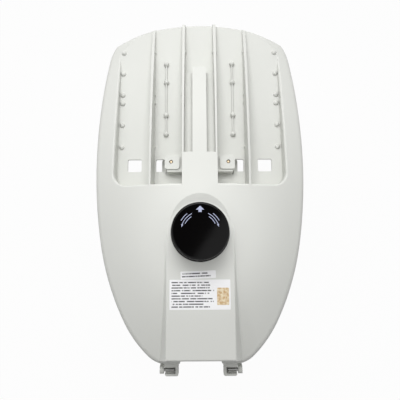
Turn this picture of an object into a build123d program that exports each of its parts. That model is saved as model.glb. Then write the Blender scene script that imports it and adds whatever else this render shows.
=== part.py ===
from build123d import *
import math
import os

# LED street-light head for a horizontal mast arm, in millimetres.
# +Z is up, +Y runs from the pole end to the street side, and Z = 0 is the arm's axis.
# Lengths along Y are measured from the housing's rear edge. The finished pieces are then
# moved so that the origin lies on the arm's axis, midway along the clamp.

# Plan of the housing
HALF_WIDTH = 174.0
LENGTH = 579.0
NOSE_BULGE = 33.5
FLANK_TURN = 8.7
CORNER_ARC = (80.0, 24.0)
TAIL_ARCS = ((910.0, 9.0), (437.0, 17.0), (193.0, 20.0), (46.0, 30.0))

# Heights
RIM_Z = -20.0
CREST_Z = 46.0
CREST_SHIFT = 9.5
FRONT_DROP = 39.5
SIDE_DROP = 35.0
SPINE_Z = 42.0
FLOOR_Z = -2.0

# Casting
WALL = 4.0
EDGE_ROUND = 10.0
DRAFT = 20.0
REAR_DRAFT = 12.0

# Spine over the arm
SPINE_HALF = 52.5
SPINE_REAR_Y = 12.7
SPINE_ROUND = 3.0
VALLEY_ROUND = 4.0
CAP_Y = 203.0
PAD_RADIUS = 50.0
PAD_SLOPE = 18.0

# Mast arm and its clamp
PIPE_RADIUS = 30.15
PIPE_GAP = 0.1
ENTRY_RADIUS = 34.0
SADDLE_Y = (30.0, 98.0)
SADDLE_THICK = 8.0
SADDLE_DROP = 4.0
STOP_Y = 126.0
CLAMP_WIDTH = 30.0
CLAMP_HALF = 54.0
CLAMP_TOP = -23.0
CLAMP_THICK = 15.0
BOLT_X = 42.0
BOLT_RADIUS = 4.0
BOLT_GAP = 0.4
BOLT_BOSS = 8.0
BOLT_TOP = 8.0
BOLT_HEX = 7.5
BOLT_HEAD = 5.3
WASHER_RADIUS = 8.0
WASHER_THICK = 1.6

# Heat-sink tray
TRAY_REAR_Y = 281.0
SHOULDER_REAR = 33.0
SHOULDER_FRONT = 37.5
TRAY_CORNER = 22.0
RIDGE_ROUND = 3.0
LIP_ROUND = 4.0
FLOOR_THICK = 4.5
FIN_X = (27.0, 80.0)
FIN_ROOT = 6.0
FIN_DRAFT = 1.8
BAR_HALF = 11.5
BAR_SETBACK = 95.0
STRIP_DROP = 14.0
STRIP_SETBACK = 4.0
TONGUE_HALF = 27.0
TONGUE_FRONT_Y = 332.0
TONGUE_ROUND = 3.0
RIB_THICK = 1.8
RIB_HEIGHT = 4.0
BOSS_RADIUS = 4.2
BOSS_RISE = 3.0
BOSS_ROUND = 4.0
WEB_THICK = 7.0

# Windows and door pads in the tray
WINDOW_Y = 320.5
WINDOW_LENGTH = 21.5
OUTER_WINDOW = (99.0, 122.5)
INNER_WINDOW = (59.5, 74.5)
SLOT_LENGTH = 5.0
WINDOW_ROUND = 2.5
BLOCK_X = (28.0, 54.5)
BLOCK_Y = (305.7, 334.0)
BLOCK_Z = 16.5
PAD_X = (33.5, 58.0)
PAD_RISE = 3.0
PAD_ROUND = 4.0
SCREW_X = 47.3
SCREW_Y = 322.0

# LED modules
MODULE_SETBACK = 47.5
MODULE_REAR_GAP = 10.5
MODULE_SPACING = 3.0
MODULE_OUTER_GAP = 33.5
MODULE_INNER_X = 19.5
MODULE_ROUND = 8.0
EDGE_SCREW_INSET = (7.3, 6.2)
FIELD_SCREW_INSET = 38.0
FIELD_SCREW_Y = 17.0
LENS_SCREW_RADIUS = 1.9
LENS_SCREW_GAP = 0.3
LENS_HEAD_RADIUS = 3.6
LENS_HEAD_HEIGHT = 2.2
LENS_SCREW_GRIP = 4.2
BOARD_THICK = 1.6
BOARD_MARGIN = 14.0
BOARD_ROUND = 4.0
SEAL_WIDTH = 3.0
SEAL_GAP = 0.4
LENS_BASE = 3.0
LENS_HEIGHT = 5.0
LENS_SIZE = (15.0, 11.0)
LENS_TAPER = 18.0
LENS_INNER_INSET = 21.0
LENS_OUTER_INSET = 28.5
LENS_END_INSET = 20.5
LENS_COLUMNS = (0, 2, 3, 4)
CHIP_SIZE = 3.5
CHIP_THICK = 0.8
CHIP_POCKET = 6.0
CHIP_ROOM = 1.6

# Wireway under the centre bar
WIREWAY_HALF = 14.0
WIREWAY_TOP = 12.0
WIREWAY_END = 14.0
WIREWAY_COVER_THICK = 2.0
WIREWAY_COVER_GAP = 0.5
WIREWAY_COVER_ROUND = 2.9
TONGUE_ROOM_HALF = 17.0
GROMMET_Z = 4.0
GROMMET_RADIUS = 7.5
GROMMET_BORE = 4.5
GROMMET_LIP = 2.0

# Door
DOOR_DEPTH = 42.0
DOOR_INSET = 0.8
DOOR_WALL = 3.5
DOOR_RIM = 6.0
DOOR_FRONT_GAP = 2.0
DOOR_BELLY_Y = 110.0
DOOR_LONG_RADIUS = 900.0
DOOR_CROSS_RADIUS = 1500.0
DOOR_ROUND = 6.0
SEAL_THICK = 1.5
SEAL_INSET = 1.0
SEAL_FRONT = 3.5
TAB_X = (34.0, 66.0)
TAB_FRONT_Y = 336.0
TAB_THICK = 6.0
TAB_ROUND = 5.0
TOWER_RADIUS = 8.0
TOWER_GAP = 1.0
DOOR_SCREW_RADIUS = 2.5
DOOR_SCREW_GAP = 0.6
DOOR_SCREW_HEAD = 6.0
DOOR_SCREW_HEAD_HEIGHT = 5.0
DOOR_SCREW_CHAMFER = 0.75
DOOR_SCREW_SINK = 0.75
THREAD_LENGTH = 5.0
LEAD_IN = 4.0

# Hinges at the pole end
PIN_Y = -12.5
PIN_Z = -12.0
PIN_RADIUS = 2.5
PIN_GAP = 0.06
PIN_INNER_X = 43.0
CUP_X = (36.0, 57.5)
CUP_POCKET_X = 40.6
CUP_REAR_Y = -21.0
CUP_TOP_Z = -6.0
CUP_WALL = 3.4
CUP_ROUND = 3.0
CUP_POCKET_HALF = 5.0
EAR_X = (59.5, 66.0)
EAR_RADIUS = 6.0
EAR_ROOT_Y = 18.0

# Twist-lock receptacle and cap
SOCKET_HOLE = 22.0
SOCKET_GAP = 0.3
SOCKET_FLANGE = 34.0
SOCKET_FLANGE_THICK = 7.5
SOCKET_NECK = 28.0
SOCKET_SEAL = 1.5
NUT_RADIUS = 30.0
NUT_THICK = 5.0
NUT_GAP = 0.4
BLADE_RADIUS = 16.5
BLADE_THICK = 1.5
BLADE_ANGLES = (90.0, 210.0, 330.0)
BLADE_SPAN = 26.0
BLADE_REACH = 20.0
TWIST_TRAVEL = 30.0
SLOT_GAP = 0.6
CONTACT_RADIUS = 1.8
CONTACT_LENGTH = 26.0
CAP_FLANGE = 44.8
CAP_FLANGE_THICK = 5.0
CAP_FOOT_RADIUS = 43.3
CAP_FACE_RADIUS = 42.1
CAP_HEIGHT = 36.0
CAP_WALL = 2.4
CAP_ROUND = 3.0
CAP_SEAL = 1.4
CAP_CLEAR = 0.15
CAP_BASE_THICK = 3.5
LINK_THICK = 1.2

# Electrical gear in the compartment
DRIVER_SIZE = (64.0, 140.0, 34.0)
DRIVER_INSET = 74.0
DRIVER_Y = 176.0
DRIVER_TOP = 8.0
SURGE_SIZE = (58.0, 34.0, 30.0)
SURGE_INSET = 72.0
SURGE_Y = 226.0
SURGE_TOP = 8.0
TERMINAL_SIZE = (54.0, 26.0, 22.0)
TERMINAL_INSET = 82.0
TERMINAL_Y = 132.0
TERMINAL_TOP = 4.0
GEAR_ROUND = 3.0
EAR_LENGTH = 12.0
EAR_THICK = 2.0
EAR_WIDTH = 16.0
GEAR_SCREW_RADIUS = 2.0
GEAR_SCREW_GAP = 0.3
GEAR_HEAD_RADIUS = 4.0
GEAR_HEAD_HEIGHT = 2.6
GEAR_SCREW_GRIP = 10.0
GEAR_POST = 5.5
EARTH_XY = (70.0, 90.0)
EARTH_TOP = 4.0
POLE_ROOM = 10.0
POLE_PITCH = 15.0
POLE_DEPTH = 12.0
POLE_MOUTH = 3.0

# Heights and places worked out from the sizes above
CREST_Y = LENGTH / 2 - CREST_SHIFT
LONG_RADIUS = ((LENGTH - CREST_Y) ** 2 + FRONT_DROP**2) / (2 * FRONT_DROP)
CROSS_RADIUS = (HALF_WIDTH**2 + SIDE_DROP**2) / (2 * SIDE_DROP)
CLAMP_Y = sum(SADDLE_Y) / 2
TRAY_HALF_REAR = HALF_WIDTH - SHOULDER_REAR
TRAY_HALF_FRONT = HALF_WIDTH - SHOULDER_FRONT
BAR_FRONT_Y = LENGTH - BAR_SETBACK
MODULE_WIDTH = HALF_WIDTH - MODULE_OUTER_GAP - MODULE_INNER_X
MODULE_X = MODULE_INNER_X + MODULE_WIDTH / 2
MODULE_REAR_Y = TAB_FRONT_Y + MODULE_REAR_GAP
MODULE_LENGTH = (LENGTH - MODULE_SETBACK - MODULE_REAR_Y - MODULE_SPACING) / 2
MODULE_Y = [MODULE_REAR_Y + MODULE_LENGTH / 2 + row * (MODULE_LENGTH + MODULE_SPACING) for row in (0, 1)]
EDGE_SCREW_X = MODULE_WIDTH / 2 - EDGE_SCREW_INSET[0]
EDGE_SCREW_Y = MODULE_LENGTH / 2 - EDGE_SCREW_INSET[1]
FIELD_SCREW_X = FIELD_SCREW_INSET - MODULE_WIDTH / 2
LENS_STEP = (MODULE_WIDTH - LENS_INNER_INSET - LENS_OUTER_INSET) / max(LENS_COLUMNS)
LENS_X = [LENS_INNER_INSET - MODULE_WIDTH / 2 + column * LENS_STEP for column in LENS_COLUMNS]
LENS_Y = [row * (MODULE_LENGTH / 2 - LENS_END_INSET) for row in (-1, 0, 1)]
DRIVER_X = DRIVER_INSET - HALF_WIDTH
SURGE_X = HALF_WIDTH - SURGE_INSET
TERMINAL_X = HALF_WIDTH - TERMINAL_INSET
FLOOR_UNDER = FLOOR_Z - FLOOR_THICK
ROOF_UNDER = SPINE_Z - WALL
DOOR_TOP = RIM_Z - SEAL_THICK
DOOR_BOTTOM = RIM_Z - DOOR_DEPTH
WEB_REAR_Y = TRAY_REAR_Y - WALL
WEB_FRONT_Y = WEB_REAR_Y + WEB_THICK
DOOR_FRONT_Y = WEB_FRONT_Y + DOOR_FRONT_GAP
PIPE_BORE = PIPE_RADIUS + PIPE_GAP
LENS_TOP = FLOOR_UNDER - BOARD_THICK
LENS_UNDER = LENS_TOP - LENS_BASE
CLAMP_UNDER = CLAMP_TOP - CLAMP_THICK
SOCKET_TOP = SPINE_Z + SOCKET_SEAL + SOCKET_FLANGE_THICK
CAP_UNDER = SOCKET_TOP + CAP_CLEAR + CAP_SEAL
CAP_TOP = CAP_UNDER + CAP_HEIGHT
SLOT_BOTTOM = SOCKET_TOP - BLADE_REACH - SLOT_GAP
DRIVER_SCREWS = [(DRIVER_X, DRIVER_Y + end * (DRIVER_SIZE[1] + EAR_LENGTH) / 2) for end in (-1, 1)]
SURGE_SCREWS = [(SURGE_X, SURGE_Y + end * (SURGE_SIZE[1] + EAR_LENGTH) / 2) for end in (-1, 1)]
TERMINAL_SCREWS = [(TERMINAL_X + end * (TERMINAL_SIZE[0] + EAR_LENGTH) / 2, TERMINAL_Y) for end in (-1, 1)]
COVER_SCREWS = [(0, BAR_FRONT_Y - WIREWAY_END / 2)]
COVER_SCREWS += [(end * (TONGUE_HALF + TONGUE_ROOM_HALF) / 2, WINDOW_Y) for end in (-1, 1)]
POLE_X = [TERMINAL_X + step * POLE_PITCH for step in (-1, 0, 1)]
FAR = 400.0
SIDES = (-1, 1)


def span_box(x, y, z):
    """A box between two limits on each axis."""
    box = Box(x[1] - x[0], y[1] - y[0], z[1] - z[0], align=(Align.MIN,) * 3)
    return Pos(x[0], y[0], z[0]) * box


def mirrored(x, side):
    """The limits x on the right-hand side, or their mirror image."""
    return x if side > 0 else (-x[1], -x[0])


def disc(radius, low, high, x=0.0, y=0.0):
    """An upright cylinder between two heights."""
    return Pos(x, y, low) * Cylinder(radius, high - low, align=(Align.CENTER, Align.CENTER, Align.MIN))


def rounded_plate(x, y, low, high, radius):
    """A flat plate with rounded upright corners, centred on x and y limits."""
    outline = RectangleRounded(x[1] - x[0], y[1] - y[0], radius)
    return extrude(Pos((x[0] + x[1]) / 2, (y[0] + y[1]) / 2, low) * outline, amount=high - low)


def arc_advance(radius, heading, turn):
    """How far an arc runs along Y, from a heading off that axis."""
    return radius * (math.sin(math.radians(heading + turn)) - math.sin(math.radians(heading)))


def tail_length():
    """How far the tail's arcs run back from the widest station to the rear edge."""
    heading = 0.0
    length = 0.0
    for radius, turn in TAIL_ARCS:
        length += arc_advance(radius, heading, turn)
        heading += turn
    return length


def flank_arc():
    """The long arc forward from the widest station, as a radius and a turn."""
    corner_radius, corner_turn = CORNER_ARC
    advance = LENGTH - NOSE_BULGE - tail_length() - arc_advance(corner_radius, FLANK_TURN, corner_turn)
    return advance / math.sin(math.radians(FLANK_TURN)), FLANK_TURN


def arc_chain(start, heading, arcs):
    """Arcs that follow each other smoothly, each a radius and a turn in degrees."""
    chain = []
    for radius, turn in arcs:
        chain.append(JernArc(start, heading, radius, turn))
        start = chain[-1] @ 1
        heading = chain[-1] % 1
    return chain


def plan(inset=0.0):
    """The housing's outline seen from above, pulled in by an inset."""
    widest = (HALF_WIDTH, tail_length())
    nose = arc_chain(widest, (0, 1), (flank_arc(), CORNER_ARC))
    tail = arc_chain(widest, (0, -1), [(radius, -turn) for radius, turn in TAIL_ARCS])
    tip = nose[-1] @ 1
    end = tail[-1] @ 1
    front = ThreePointArc(tip, (0, LENGTH), (-tip.X, tip.Y))
    rear = Line(end, (-end.X, end.Y))
    left = [edge.mirror(Plane.YZ) for edge in nose + tail]
    face = make_face(nose + tail + left + [front, rear])
    if inset:
        face = offset(face, amount=-inset, kind=Kind.INTERSECTION)
    return face


def bowl(crest_y, crest_z, long_radius, cross_radius, depth):
    """A block under a surface curved both ways, highest at the crest."""
    half = HALF_WIDTH + WALL
    drop = cross_radius - math.sqrt(cross_radius**2 - half**2)
    shoulder = crest_z - drop
    section = make_face(
        Polyline((half, shoulder), (half, -depth), (-half, -depth), (-half, shoulder)).edges()
        + ThreePointArc((-half, shoulder), (0, crest_z), (half, shoulder)).edges()
    )
    upright = Plane((0, crest_y, 0), x_dir=(1, 0, 0), z_dir=(0, -1, 0))
    hub = Axis((0, crest_y, crest_z - long_radius), (1, 0, 0))
    turn = math.degrees(FAR / long_radius)
    swept = revolve(upright * section, axis=hub, revolution_arc=2 * turn)
    return swept.rotate(hub, -turn)


def housing_skin():
    """The solid outer form: filleted dome, drafted spine and the flat pad under the cap."""
    dome = bowl(CREST_Y, CREST_Z, LONG_RADIUS, CROSS_RADIUS, FAR / 2)
    body = extrude(Pos(0, 0, RIM_Z) * plan(), amount=FAR) & dome
    body = fillet(body.faces().sort_by(Axis.Z)[-1].edges(), EDGE_ROUND)
    body += spine_block(0.0, SPINE_Z, SPINE_ROUND)
    body = fillet(spine_valleys(body), VALLEY_ROUND)
    rise = 2 * (CREST_Z - SPINE_Z)
    reach = PAD_RADIUS + rise / math.tan(math.radians(PAD_SLOPE))
    recess = Cone(PAD_RADIUS, reach, rise, align=(Align.CENTER, Align.CENTER, Align.MIN))
    return body - Pos(0, CAP_Y, SPINE_Z) * recess


def spine_valleys(body):
    """The two long edges where the spine's flanks meet the dome."""
    foot = SPINE_HALF + SPINE_Z * math.tan(math.radians(DRAFT))
    beside = [edge for edge in body.edges() if SPINE_HALF < abs(edge.center().X) < foot]
    long_ones = ShapeList(edge for edge in beside if edge.length > CAP_Y / 2 and edge.center().Y < CAP_Y)
    return long_ones.sort_by(Axis.Z)[:2]


def spine_block(inset, top, rounding):
    """The spine: a long plan with a round front end, drafted outwards, less so at its rear end."""
    half = SPINE_HALF - inset
    rear = SPINE_REAR_Y + inset
    face = make_face(
        Polyline((-half, CAP_Y), (-half, rear - top), (half, rear - top), (half, CAP_Y)).edges()
        + ThreePointArc((half, CAP_Y), (0, CAP_Y + half), (-half, CAP_Y)).edges()
    )
    block = extrude(Pos(0, 0, top) * face, amount=top, dir=(0, 0, -1), taper=-DRAFT)
    foot = rear - top * math.tan(math.radians(REAR_DRAFT))
    side_view = make_face(Polyline((rear, top), (foot, 0), (FAR, 0), (FAR, top), close=True).edges())
    upright = Plane((-FAR / 2, 0, 0), x_dir=(0, 1, 0), z_dir=(1, 0, 0))
    block = block & extrude(upright * side_view, amount=FAR)
    if rounding:
        block = fillet(block.faces().sort_by(Axis.Z)[-1].edges(), rounding)
    return block


def module_sites():
    """Centres of the four LED modules, with the side they are on and their names."""
    rows = zip(("rear", "front"), MODULE_Y)
    return [
        (f"{row}_{hand}", side, side * MODULE_X, y)
        for row, y in rows
        for hand, side in (("left", -1), ("right", 1))
    ]


def module_screws(side, x, y):
    """Screw places of one module: around its edge and two in its field."""
    edge = [(dx, dy) for dx in (-EDGE_SCREW_X, 0, EDGE_SCREW_X) for dy in (-EDGE_SCREW_Y, EDGE_SCREW_Y)]
    field = [(FIELD_SCREW_X, -FIELD_SCREW_Y), (FIELD_SCREW_X, FIELD_SCREW_Y)]
    return [(x + side * dx, y + dy) for dx, dy in edge + [(EDGE_SCREW_X, 0)] + field]


def lens_places(side, x, y):
    """Places of one module's LEDs and of the lenses over them."""
    return [(x + side * dx, y + dy) for dx in LENS_X for dy in LENS_Y]


def all_lens_screws():
    """Every lens screw's place."""
    return [place for _, side, x, y in module_sites() for place in module_screws(side, x, y)]


def tray_face(grow=0.0):
    """Plan of the heat-sink tray, open past the front edge."""
    front = LENGTH + TRAY_CORNER
    rear = [(-TRAY_HALF_REAR, TRAY_REAR_Y), (TRAY_HALF_REAR, TRAY_REAR_Y)]
    corners = rear + [(TRAY_HALF_FRONT, front), (-TRAY_HALF_FRONT, front)]
    face = make_face(Polyline(*corners, close=True).edges())
    face = fillet(face.vertices().group_by(Axis.Y)[0], TRAY_CORNER)
    return offset(face, amount=grow) if grow else face


def tongue():
    """The flush tongue that leads the dome into the tray."""
    x = (-TONGUE_HALF, TONGUE_HALF)
    y = (TRAY_REAR_Y - TRAY_CORNER, TONGUE_FRONT_Y)
    return rounded_plate(x, y, FLOOR_Z, FAR, TONGUE_ROUND)


def fin(x):
    """A drafted fin along the tray, from behind its rear wall to past the front edge."""
    length = LENGTH + TRAY_CORNER - WEB_REAR_Y
    root = Rectangle(FIN_ROOT, length, align=(Align.CENTER, Align.MIN))
    low = FLOOR_Z - LIP_ROUND
    return extrude(Pos(x, WEB_REAR_Y, low) * root, amount=CREST_Z - low + WALL, taper=FIN_DRAFT)


def door_block(side):
    """Raised block with a pad on top, where a door screw ends."""
    block = span_box(mirrored(BLOCK_X, side), BLOCK_Y, (FLOOR_Z, BLOCK_Z))
    pad_y = (WINDOW_Y - WINDOW_LENGTH / 2, WINDOW_Y + WINDOW_LENGTH / 2)
    return block + rounded_plate(mirrored(PAD_X, side), pad_y, FLOOR_Z, BLOCK_Z + PAD_RISE, PAD_ROUND)


def front_lip():
    """What rounds the floor's front edge: a ring about the centre of the nose arc."""
    half = HALF_WIDTH - SHOULDER_FRONT - TRAY_CORNER
    nose = plan().edges().filter_by(GeomType.CIRCLE).sort_by(Axis.Y)[-1]
    edge = nose.radius
    inner = edge - LIP_ROUND
    low = FLOOR_Z - LIP_ROUND
    high = FLOOR_Z + WALL
    outer = edge + WALL
    outline = Polyline((inner, FLOOR_Z), (inner, high), (outer, high), (outer, low), (edge, low))
    roll = RadiusArc((edge, low), (inner, FLOOR_Z), -LIP_ROUND)
    section = make_face(outline.edges() + roll.edges())
    turn = math.degrees(math.asin(half / edge))
    swept = revolve(Plane.XZ * section, axis=Axis.Z, revolution_arc=2 * turn)
    return Pos(nose.arc_center) * (Rot(0, 0, 90 - turn) * swept)


def sunk_tray(skin):
    """The skin with the plain tray taken out, its upper edge and its front edge rounded."""
    body = skin - extrude(Pos(0, 0, FLOOR_Z) * tray_face(), amount=FAR)
    ridge = []
    for edge in body.edges():
        middle = edge @ 0.5
        high = middle.Z > FLOOR_Z + EDGE_ROUND and edge.geom_type != GeomType.LINE
        if high and abs(middle.X) < TRAY_HALF_REAR and middle.Y > TRAY_REAR_Y - WALL:
            ridge.append(edge)
    return fillet(ridge, RIDGE_ROUND) - front_lip()


def strips():
    """The raised floor on both sides of the bar, at an even depth under the dome's surface."""
    lid = bowl(CREST_Y, CREST_Z - STRIP_DROP, LONG_RADIUS - STRIP_DROP, CROSS_RADIUS - STRIP_DROP, FAR / 2)
    y = (TRAY_REAR_Y, BAR_FRONT_Y - STRIP_SETBACK)
    return lid & span_box((-FIN_X[0], FIN_X[0]), y, (FLOOR_Z, FAR))


def boss(x, y):
    """A domed boss over a lens screw: a low dome by the side walls, a post between the outer fins."""
    if abs(x) > FIN_X[1] + BOSS_RADIUS:
        return Pos(x, y, FLOOR_Z) * Sphere(BOSS_RADIUS)
    post = disc(BOSS_RADIUS, FLOOR_Z - BOSS_RISE, FLOOR_Z + BOSS_RISE + BOSS_RADIUS, x, y)
    return fillet(post.edges().group_by(Axis.Z)[-1], BOSS_ROUND)


def flush_ribs(skin):
    """What fills the tray up to the dome's surface: the tongue, the bar and the fins."""
    bar = span_box((-BAR_HALF, BAR_HALF), (TRAY_REAR_Y, BAR_FRONT_Y), (FLOOR_Z, FAR))
    fins = [fin(side * x) for x in FIN_X for side in SIDES]
    return [rib & skin for rib in [tongue(), bar, *fins]]


def low_ribs():
    """What stands lower on the tray's floor: strips, door blocks, thin ribs and screw bosses."""
    ribs = []
    for side in SIDES:
        rib_x = side * (MODULE_X + FIELD_SCREW_X)
        rib_y = (MODULE_Y[0] - FIELD_SCREW_Y, MODULE_Y[1] + FIELD_SCREW_Y)
        rib = (rib_x - RIB_THICK / 2, rib_x + RIB_THICK / 2)
        ribs.append(span_box(rib, rib_y, (FLOOR_Z, FLOOR_Z + RIB_HEIGHT)))
        ribs.append(door_block(side))
    return ribs + [strips()] + [boss(x, y) for x, y in all_lens_screws()]


def housing_hollow():
    """The room under the roof: the gear compartment, the LED recess and the web between them."""
    lid = bowl(CREST_Y, CREST_Z - WALL, LONG_RADIUS - WALL, CROSS_RADIUS - WALL, FAR / 2)
    room = extrude(Pos(0, 0, RIM_Z) * plan(WALL), amount=ROOF_UNDER - RIM_Z) & lid
    room += spine_block(WALL, ROOF_UNDER, 0)
    room -= extrude(Pos(0, 0, FLOOR_UNDER) * tray_face(WALL), amount=FAR)
    room -= span_box((-FAR, FAR), (WEB_REAR_Y, WEB_FRONT_Y), (RIM_Z, FAR))
    return room


def gear_posts():
    """Posts that hang from the roof: places, lower ends and radii."""
    posts = [(x, y, DRIVER_TOP, GEAR_POST) for x, y in DRIVER_SCREWS]
    posts += [(x, y, SURGE_TOP, GEAR_POST) for x, y in SURGE_SCREWS]
    posts += [(x, y, TERMINAL_TOP, GEAR_POST) for x, y in TERMINAL_SCREWS]
    posts.append((*EARTH_XY, EARTH_TOP, GEAR_POST))
    return posts


def arm_saddles():
    """Ribs under the roof that bear on the arm, bosses for the clamp bolts, and the arm's stop."""
    half = SPINE_HALF - WALL / 2
    ribs = span_box((-ENTRY_RADIUS / 2, ENTRY_RADIUS / 2), (STOP_Y, STOP_Y + WALL), (PIPE_RADIUS / 2, FAR))
    for y in SADDLE_Y:
        ribs += span_box((-half, half), (y - SADDLE_THICK / 2, y + SADDLE_THICK / 2), (-SADDLE_DROP, FAR))
    for side in SIDES:
        ribs += disc(BOLT_BOSS, -SADDLE_DROP, FAR, side * BOLT_X, CLAMP_Y)
    return ribs


def hinge_cup(side):
    """Cup at the rear edge, open on top and at its outer end, with a trough for the door's pin."""
    under = PIN_Z - PIN_RADIUS - CUP_WALL
    x = mirrored(CUP_X, side)
    cup = rounded_plate(x, (CUP_REAR_Y, WALL), under, CUP_TOP_Z, CUP_ROUND)
    pocket_x = mirrored((CUP_POCKET_X, CUP_X[1] + CUP_WALL), side)
    cup -= span_box(pocket_x, (PIN_Y - CUP_POCKET_HALF, PIN_Y + CUP_POCKET_HALF), (PIN_Z, 0))
    return cup - cross_rod(PIN_RADIUS + PIN_GAP, pocket_x)


def cross_rod(radius, x):
    """A rod along X on the hinge axis."""
    rod = Cylinder(radius, x[1] - x[0], rotation=(0, 90, 0))
    return Pos((x[0] + x[1]) / 2, PIN_Y, PIN_Z) * rod


def arm_bore(radius, y):
    """A bore along Y on the arm's axis."""
    return Pos(0, (y[0] + y[1]) / 2, 0) * Cylinder(radius, y[1] - y[0], rotation=(90, 0, 0))


def window(x, side):
    """A through window in the tray's floor."""
    y = (WINDOW_Y - WINDOW_LENGTH / 2, WINDOW_Y + WINDOW_LENGTH / 2)
    return rounded_plate(mirrored(x, side), y, RIM_Z, FLOOR_Z + WALL, WINDOW_ROUND)


def block_slot(side):
    """The slot through the floor beside a door block, behind its pad."""
    front = WINDOW_Y - WINDOW_LENGTH / 2
    y = (front - SLOT_LENGTH, front)
    return span_box(mirrored((BLOCK_X[1], PAD_X[1]), side), y, (RIM_Z, FLOOR_Z + WALL))


def door_screw_hole(side):
    """A short fitted length under the pad, and a wide lead-in below it."""
    x = side * SCREW_X
    top = BLOCK_Z + PAD_RISE
    hole = disc(DOOR_SCREW_RADIUS + DOOR_SCREW_GAP, RIM_Z, top + WALL, x, SCREW_Y)
    return hole + disc(DOOR_SCREW_RADIUS + LEAD_IN, RIM_Z, top - THREAD_LENGTH, x, SCREW_Y)


def wireway():
    """The lead's way: a hole through the web, a room in the tongue and a channel in the bar."""
    hole_y = (WEB_REAR_Y - WALL, WEB_FRONT_Y + WALL)
    way = Pos(0, 0, GROMMET_Z) * arm_bore(GROMMET_RADIUS, hole_y)
    room_y = (WEB_FRONT_Y, TONGUE_FRONT_Y - WALL)
    way += span_box((-TONGUE_ROOM_HALF, TONGUE_ROOM_HALF), room_y, (FLOOR_UNDER, CREST_Z - 2 * WALL))
    channel_y = (WEB_FRONT_Y, BAR_FRONT_Y - WIREWAY_END)
    return way + span_box((-WIREWAY_HALF, WIREWAY_HALF), channel_y, (FLOOR_UNDER, WIREWAY_TOP))


def screw_holes():
    """Blind holes for the lens, cover and gear screws."""
    lens_radius = LENS_SCREW_RADIUS + LENS_SCREW_GAP
    gear_radius = GEAR_SCREW_RADIUS + GEAR_SCREW_GAP
    lens_top = FLOOR_UNDER + LENS_SCREW_GRIP
    cover_top = FLOOR_UNDER + GEAR_SCREW_GRIP
    holes = [disc(lens_radius, FLOOR_UNDER, lens_top, x, y) for x, y in all_lens_screws()]
    holes += [disc(gear_radius, FLOOR_UNDER, cover_top, x, y) for x, y in COVER_SCREWS]
    holes += [disc(gear_radius, low, low + GEAR_SCREW_GRIP, x, y) for x, y, low, _ in gear_posts()]
    return holes


def top_housing():
    """The upper casting."""
    skin = housing_skin()
    posts = arm_saddles()
    for x, y, low, radius in gear_posts():
        posts += disc(radius, low, FAR, x, y)
    posts -= arm_bore(PIPE_BORE, (0, STOP_Y))
    body = sunk_tray(skin) + flush_ribs(skin) + low_ribs() - housing_hollow() + (posts & skin)
    for side in SIDES:
        body += hinge_cup(side)
        body -= door_screw_hole(side)
        body -= window(OUTER_WINDOW, side)
        body -= window(INNER_WINDOW, side)
        body -= block_slot(side)
        body -= disc(BOLT_RADIUS + BOLT_GAP, RIM_Z, BOLT_TOP + WALL, side * BOLT_X, CLAMP_Y)
    body -= arm_bore(ENTRY_RADIUS, (-WALL, SADDLE_Y[0] - SADDLE_THICK))
    body -= span_box((-ENTRY_RADIUS, ENTRY_RADIUS), (-WALL, 2 * WALL), (RIM_Z, 0))
    body -= disc(SOCKET_HOLE, 0, FAR, 0, CAP_Y)
    body -= wireway()
    return body - screw_holes()


def door_block_solid(inset, wall):
    """The pan's form: the rear of the plan, above a belly curved both ways."""
    radii = (DOOR_LONG_RADIUS - wall, DOOR_CROSS_RADIUS - wall)
    belly = bowl(DOOR_BELLY_Y, -DOOR_BOTTOM - wall, *radii, FAR / 2)
    rear = span_box((-FAR, FAR), (-FAR, DOOR_FRONT_Y - inset + DOOR_INSET), (-FAR, FAR))
    column = extrude(Pos(0, 0, DOOR_TOP) * plan(inset), amount=FAR / 4, dir=(0, 0, -1))
    return column & rear & belly.mirror(Plane.XY)


def door_ear(side):
    """Hook that reaches behind the housing's edge and up to the hinge pin."""
    knuckle = Pos(PIN_Y, PIN_Z) * Circle(EAR_RADIUS)
    elbow = Pos(PIN_Y + EAR_RADIUS / 2, DOOR_TOP - EAR_RADIUS - WALL) * Circle(EAR_RADIUS)
    root = Pos(EAR_ROOT_Y, DOOR_TOP - EAR_RADIUS - WALL) * Rectangle(EAR_RADIUS, 2 * EAR_RADIUS)
    leg = make_hull(knuckle.edges() + elbow.edges())
    arm = make_hull(elbow.edges() + root.edges())
    x = mirrored(EAR_X, side)
    upright = Plane((x[0], 0, 0), x_dir=(0, 1, 0), z_dir=(1, 0, 0))
    ear = extrude(upright * (leg + arm), amount=x[1] - x[0])
    return ear - cross_rod(PIN_RADIUS + PIN_GAP / 3, x)


def door():
    """The lower casting: a pan with two screw tabs in front and two hinge ears behind."""
    pan = door_block_solid(DOOR_INSET, 0.0)
    pan = fillet(pan.faces().sort_by(Axis.Z)[0].edges(), DOOR_ROUND)
    pan -= door_block_solid(DOOR_INSET + DOOR_RIM, DOOR_WALL)
    for side in SIDES:
        tab_y = (DOOR_FRONT_Y - DOOR_RIM, TAB_FRONT_Y)
        pan += rounded_plate(mirrored(TAB_X, side), tab_y, DOOR_TOP - TAB_THICK, DOOR_TOP, TAB_ROUND)
        pan += disc(TOWER_RADIUS, DOOR_TOP - TAB_THICK, FLOOR_UNDER - TOWER_GAP, side * SCREW_X, SCREW_Y)
        pan -= disc(DOOR_SCREW_RADIUS + DOOR_SCREW_GAP, DOOR_BOTTOM, 0, side * SCREW_X, SCREW_Y)
        pan += door_ear(side)
    return pan - arm_bore(ENTRY_RADIUS, (-FAR / 4, 4 * WALL))


def hinge_pins():
    """Two steel pins, fast in the door's ears."""
    return [cross_rod(PIN_RADIUS, mirrored((PIN_INNER_X, EAR_X[1]), side)) for side in SIDES]


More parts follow.
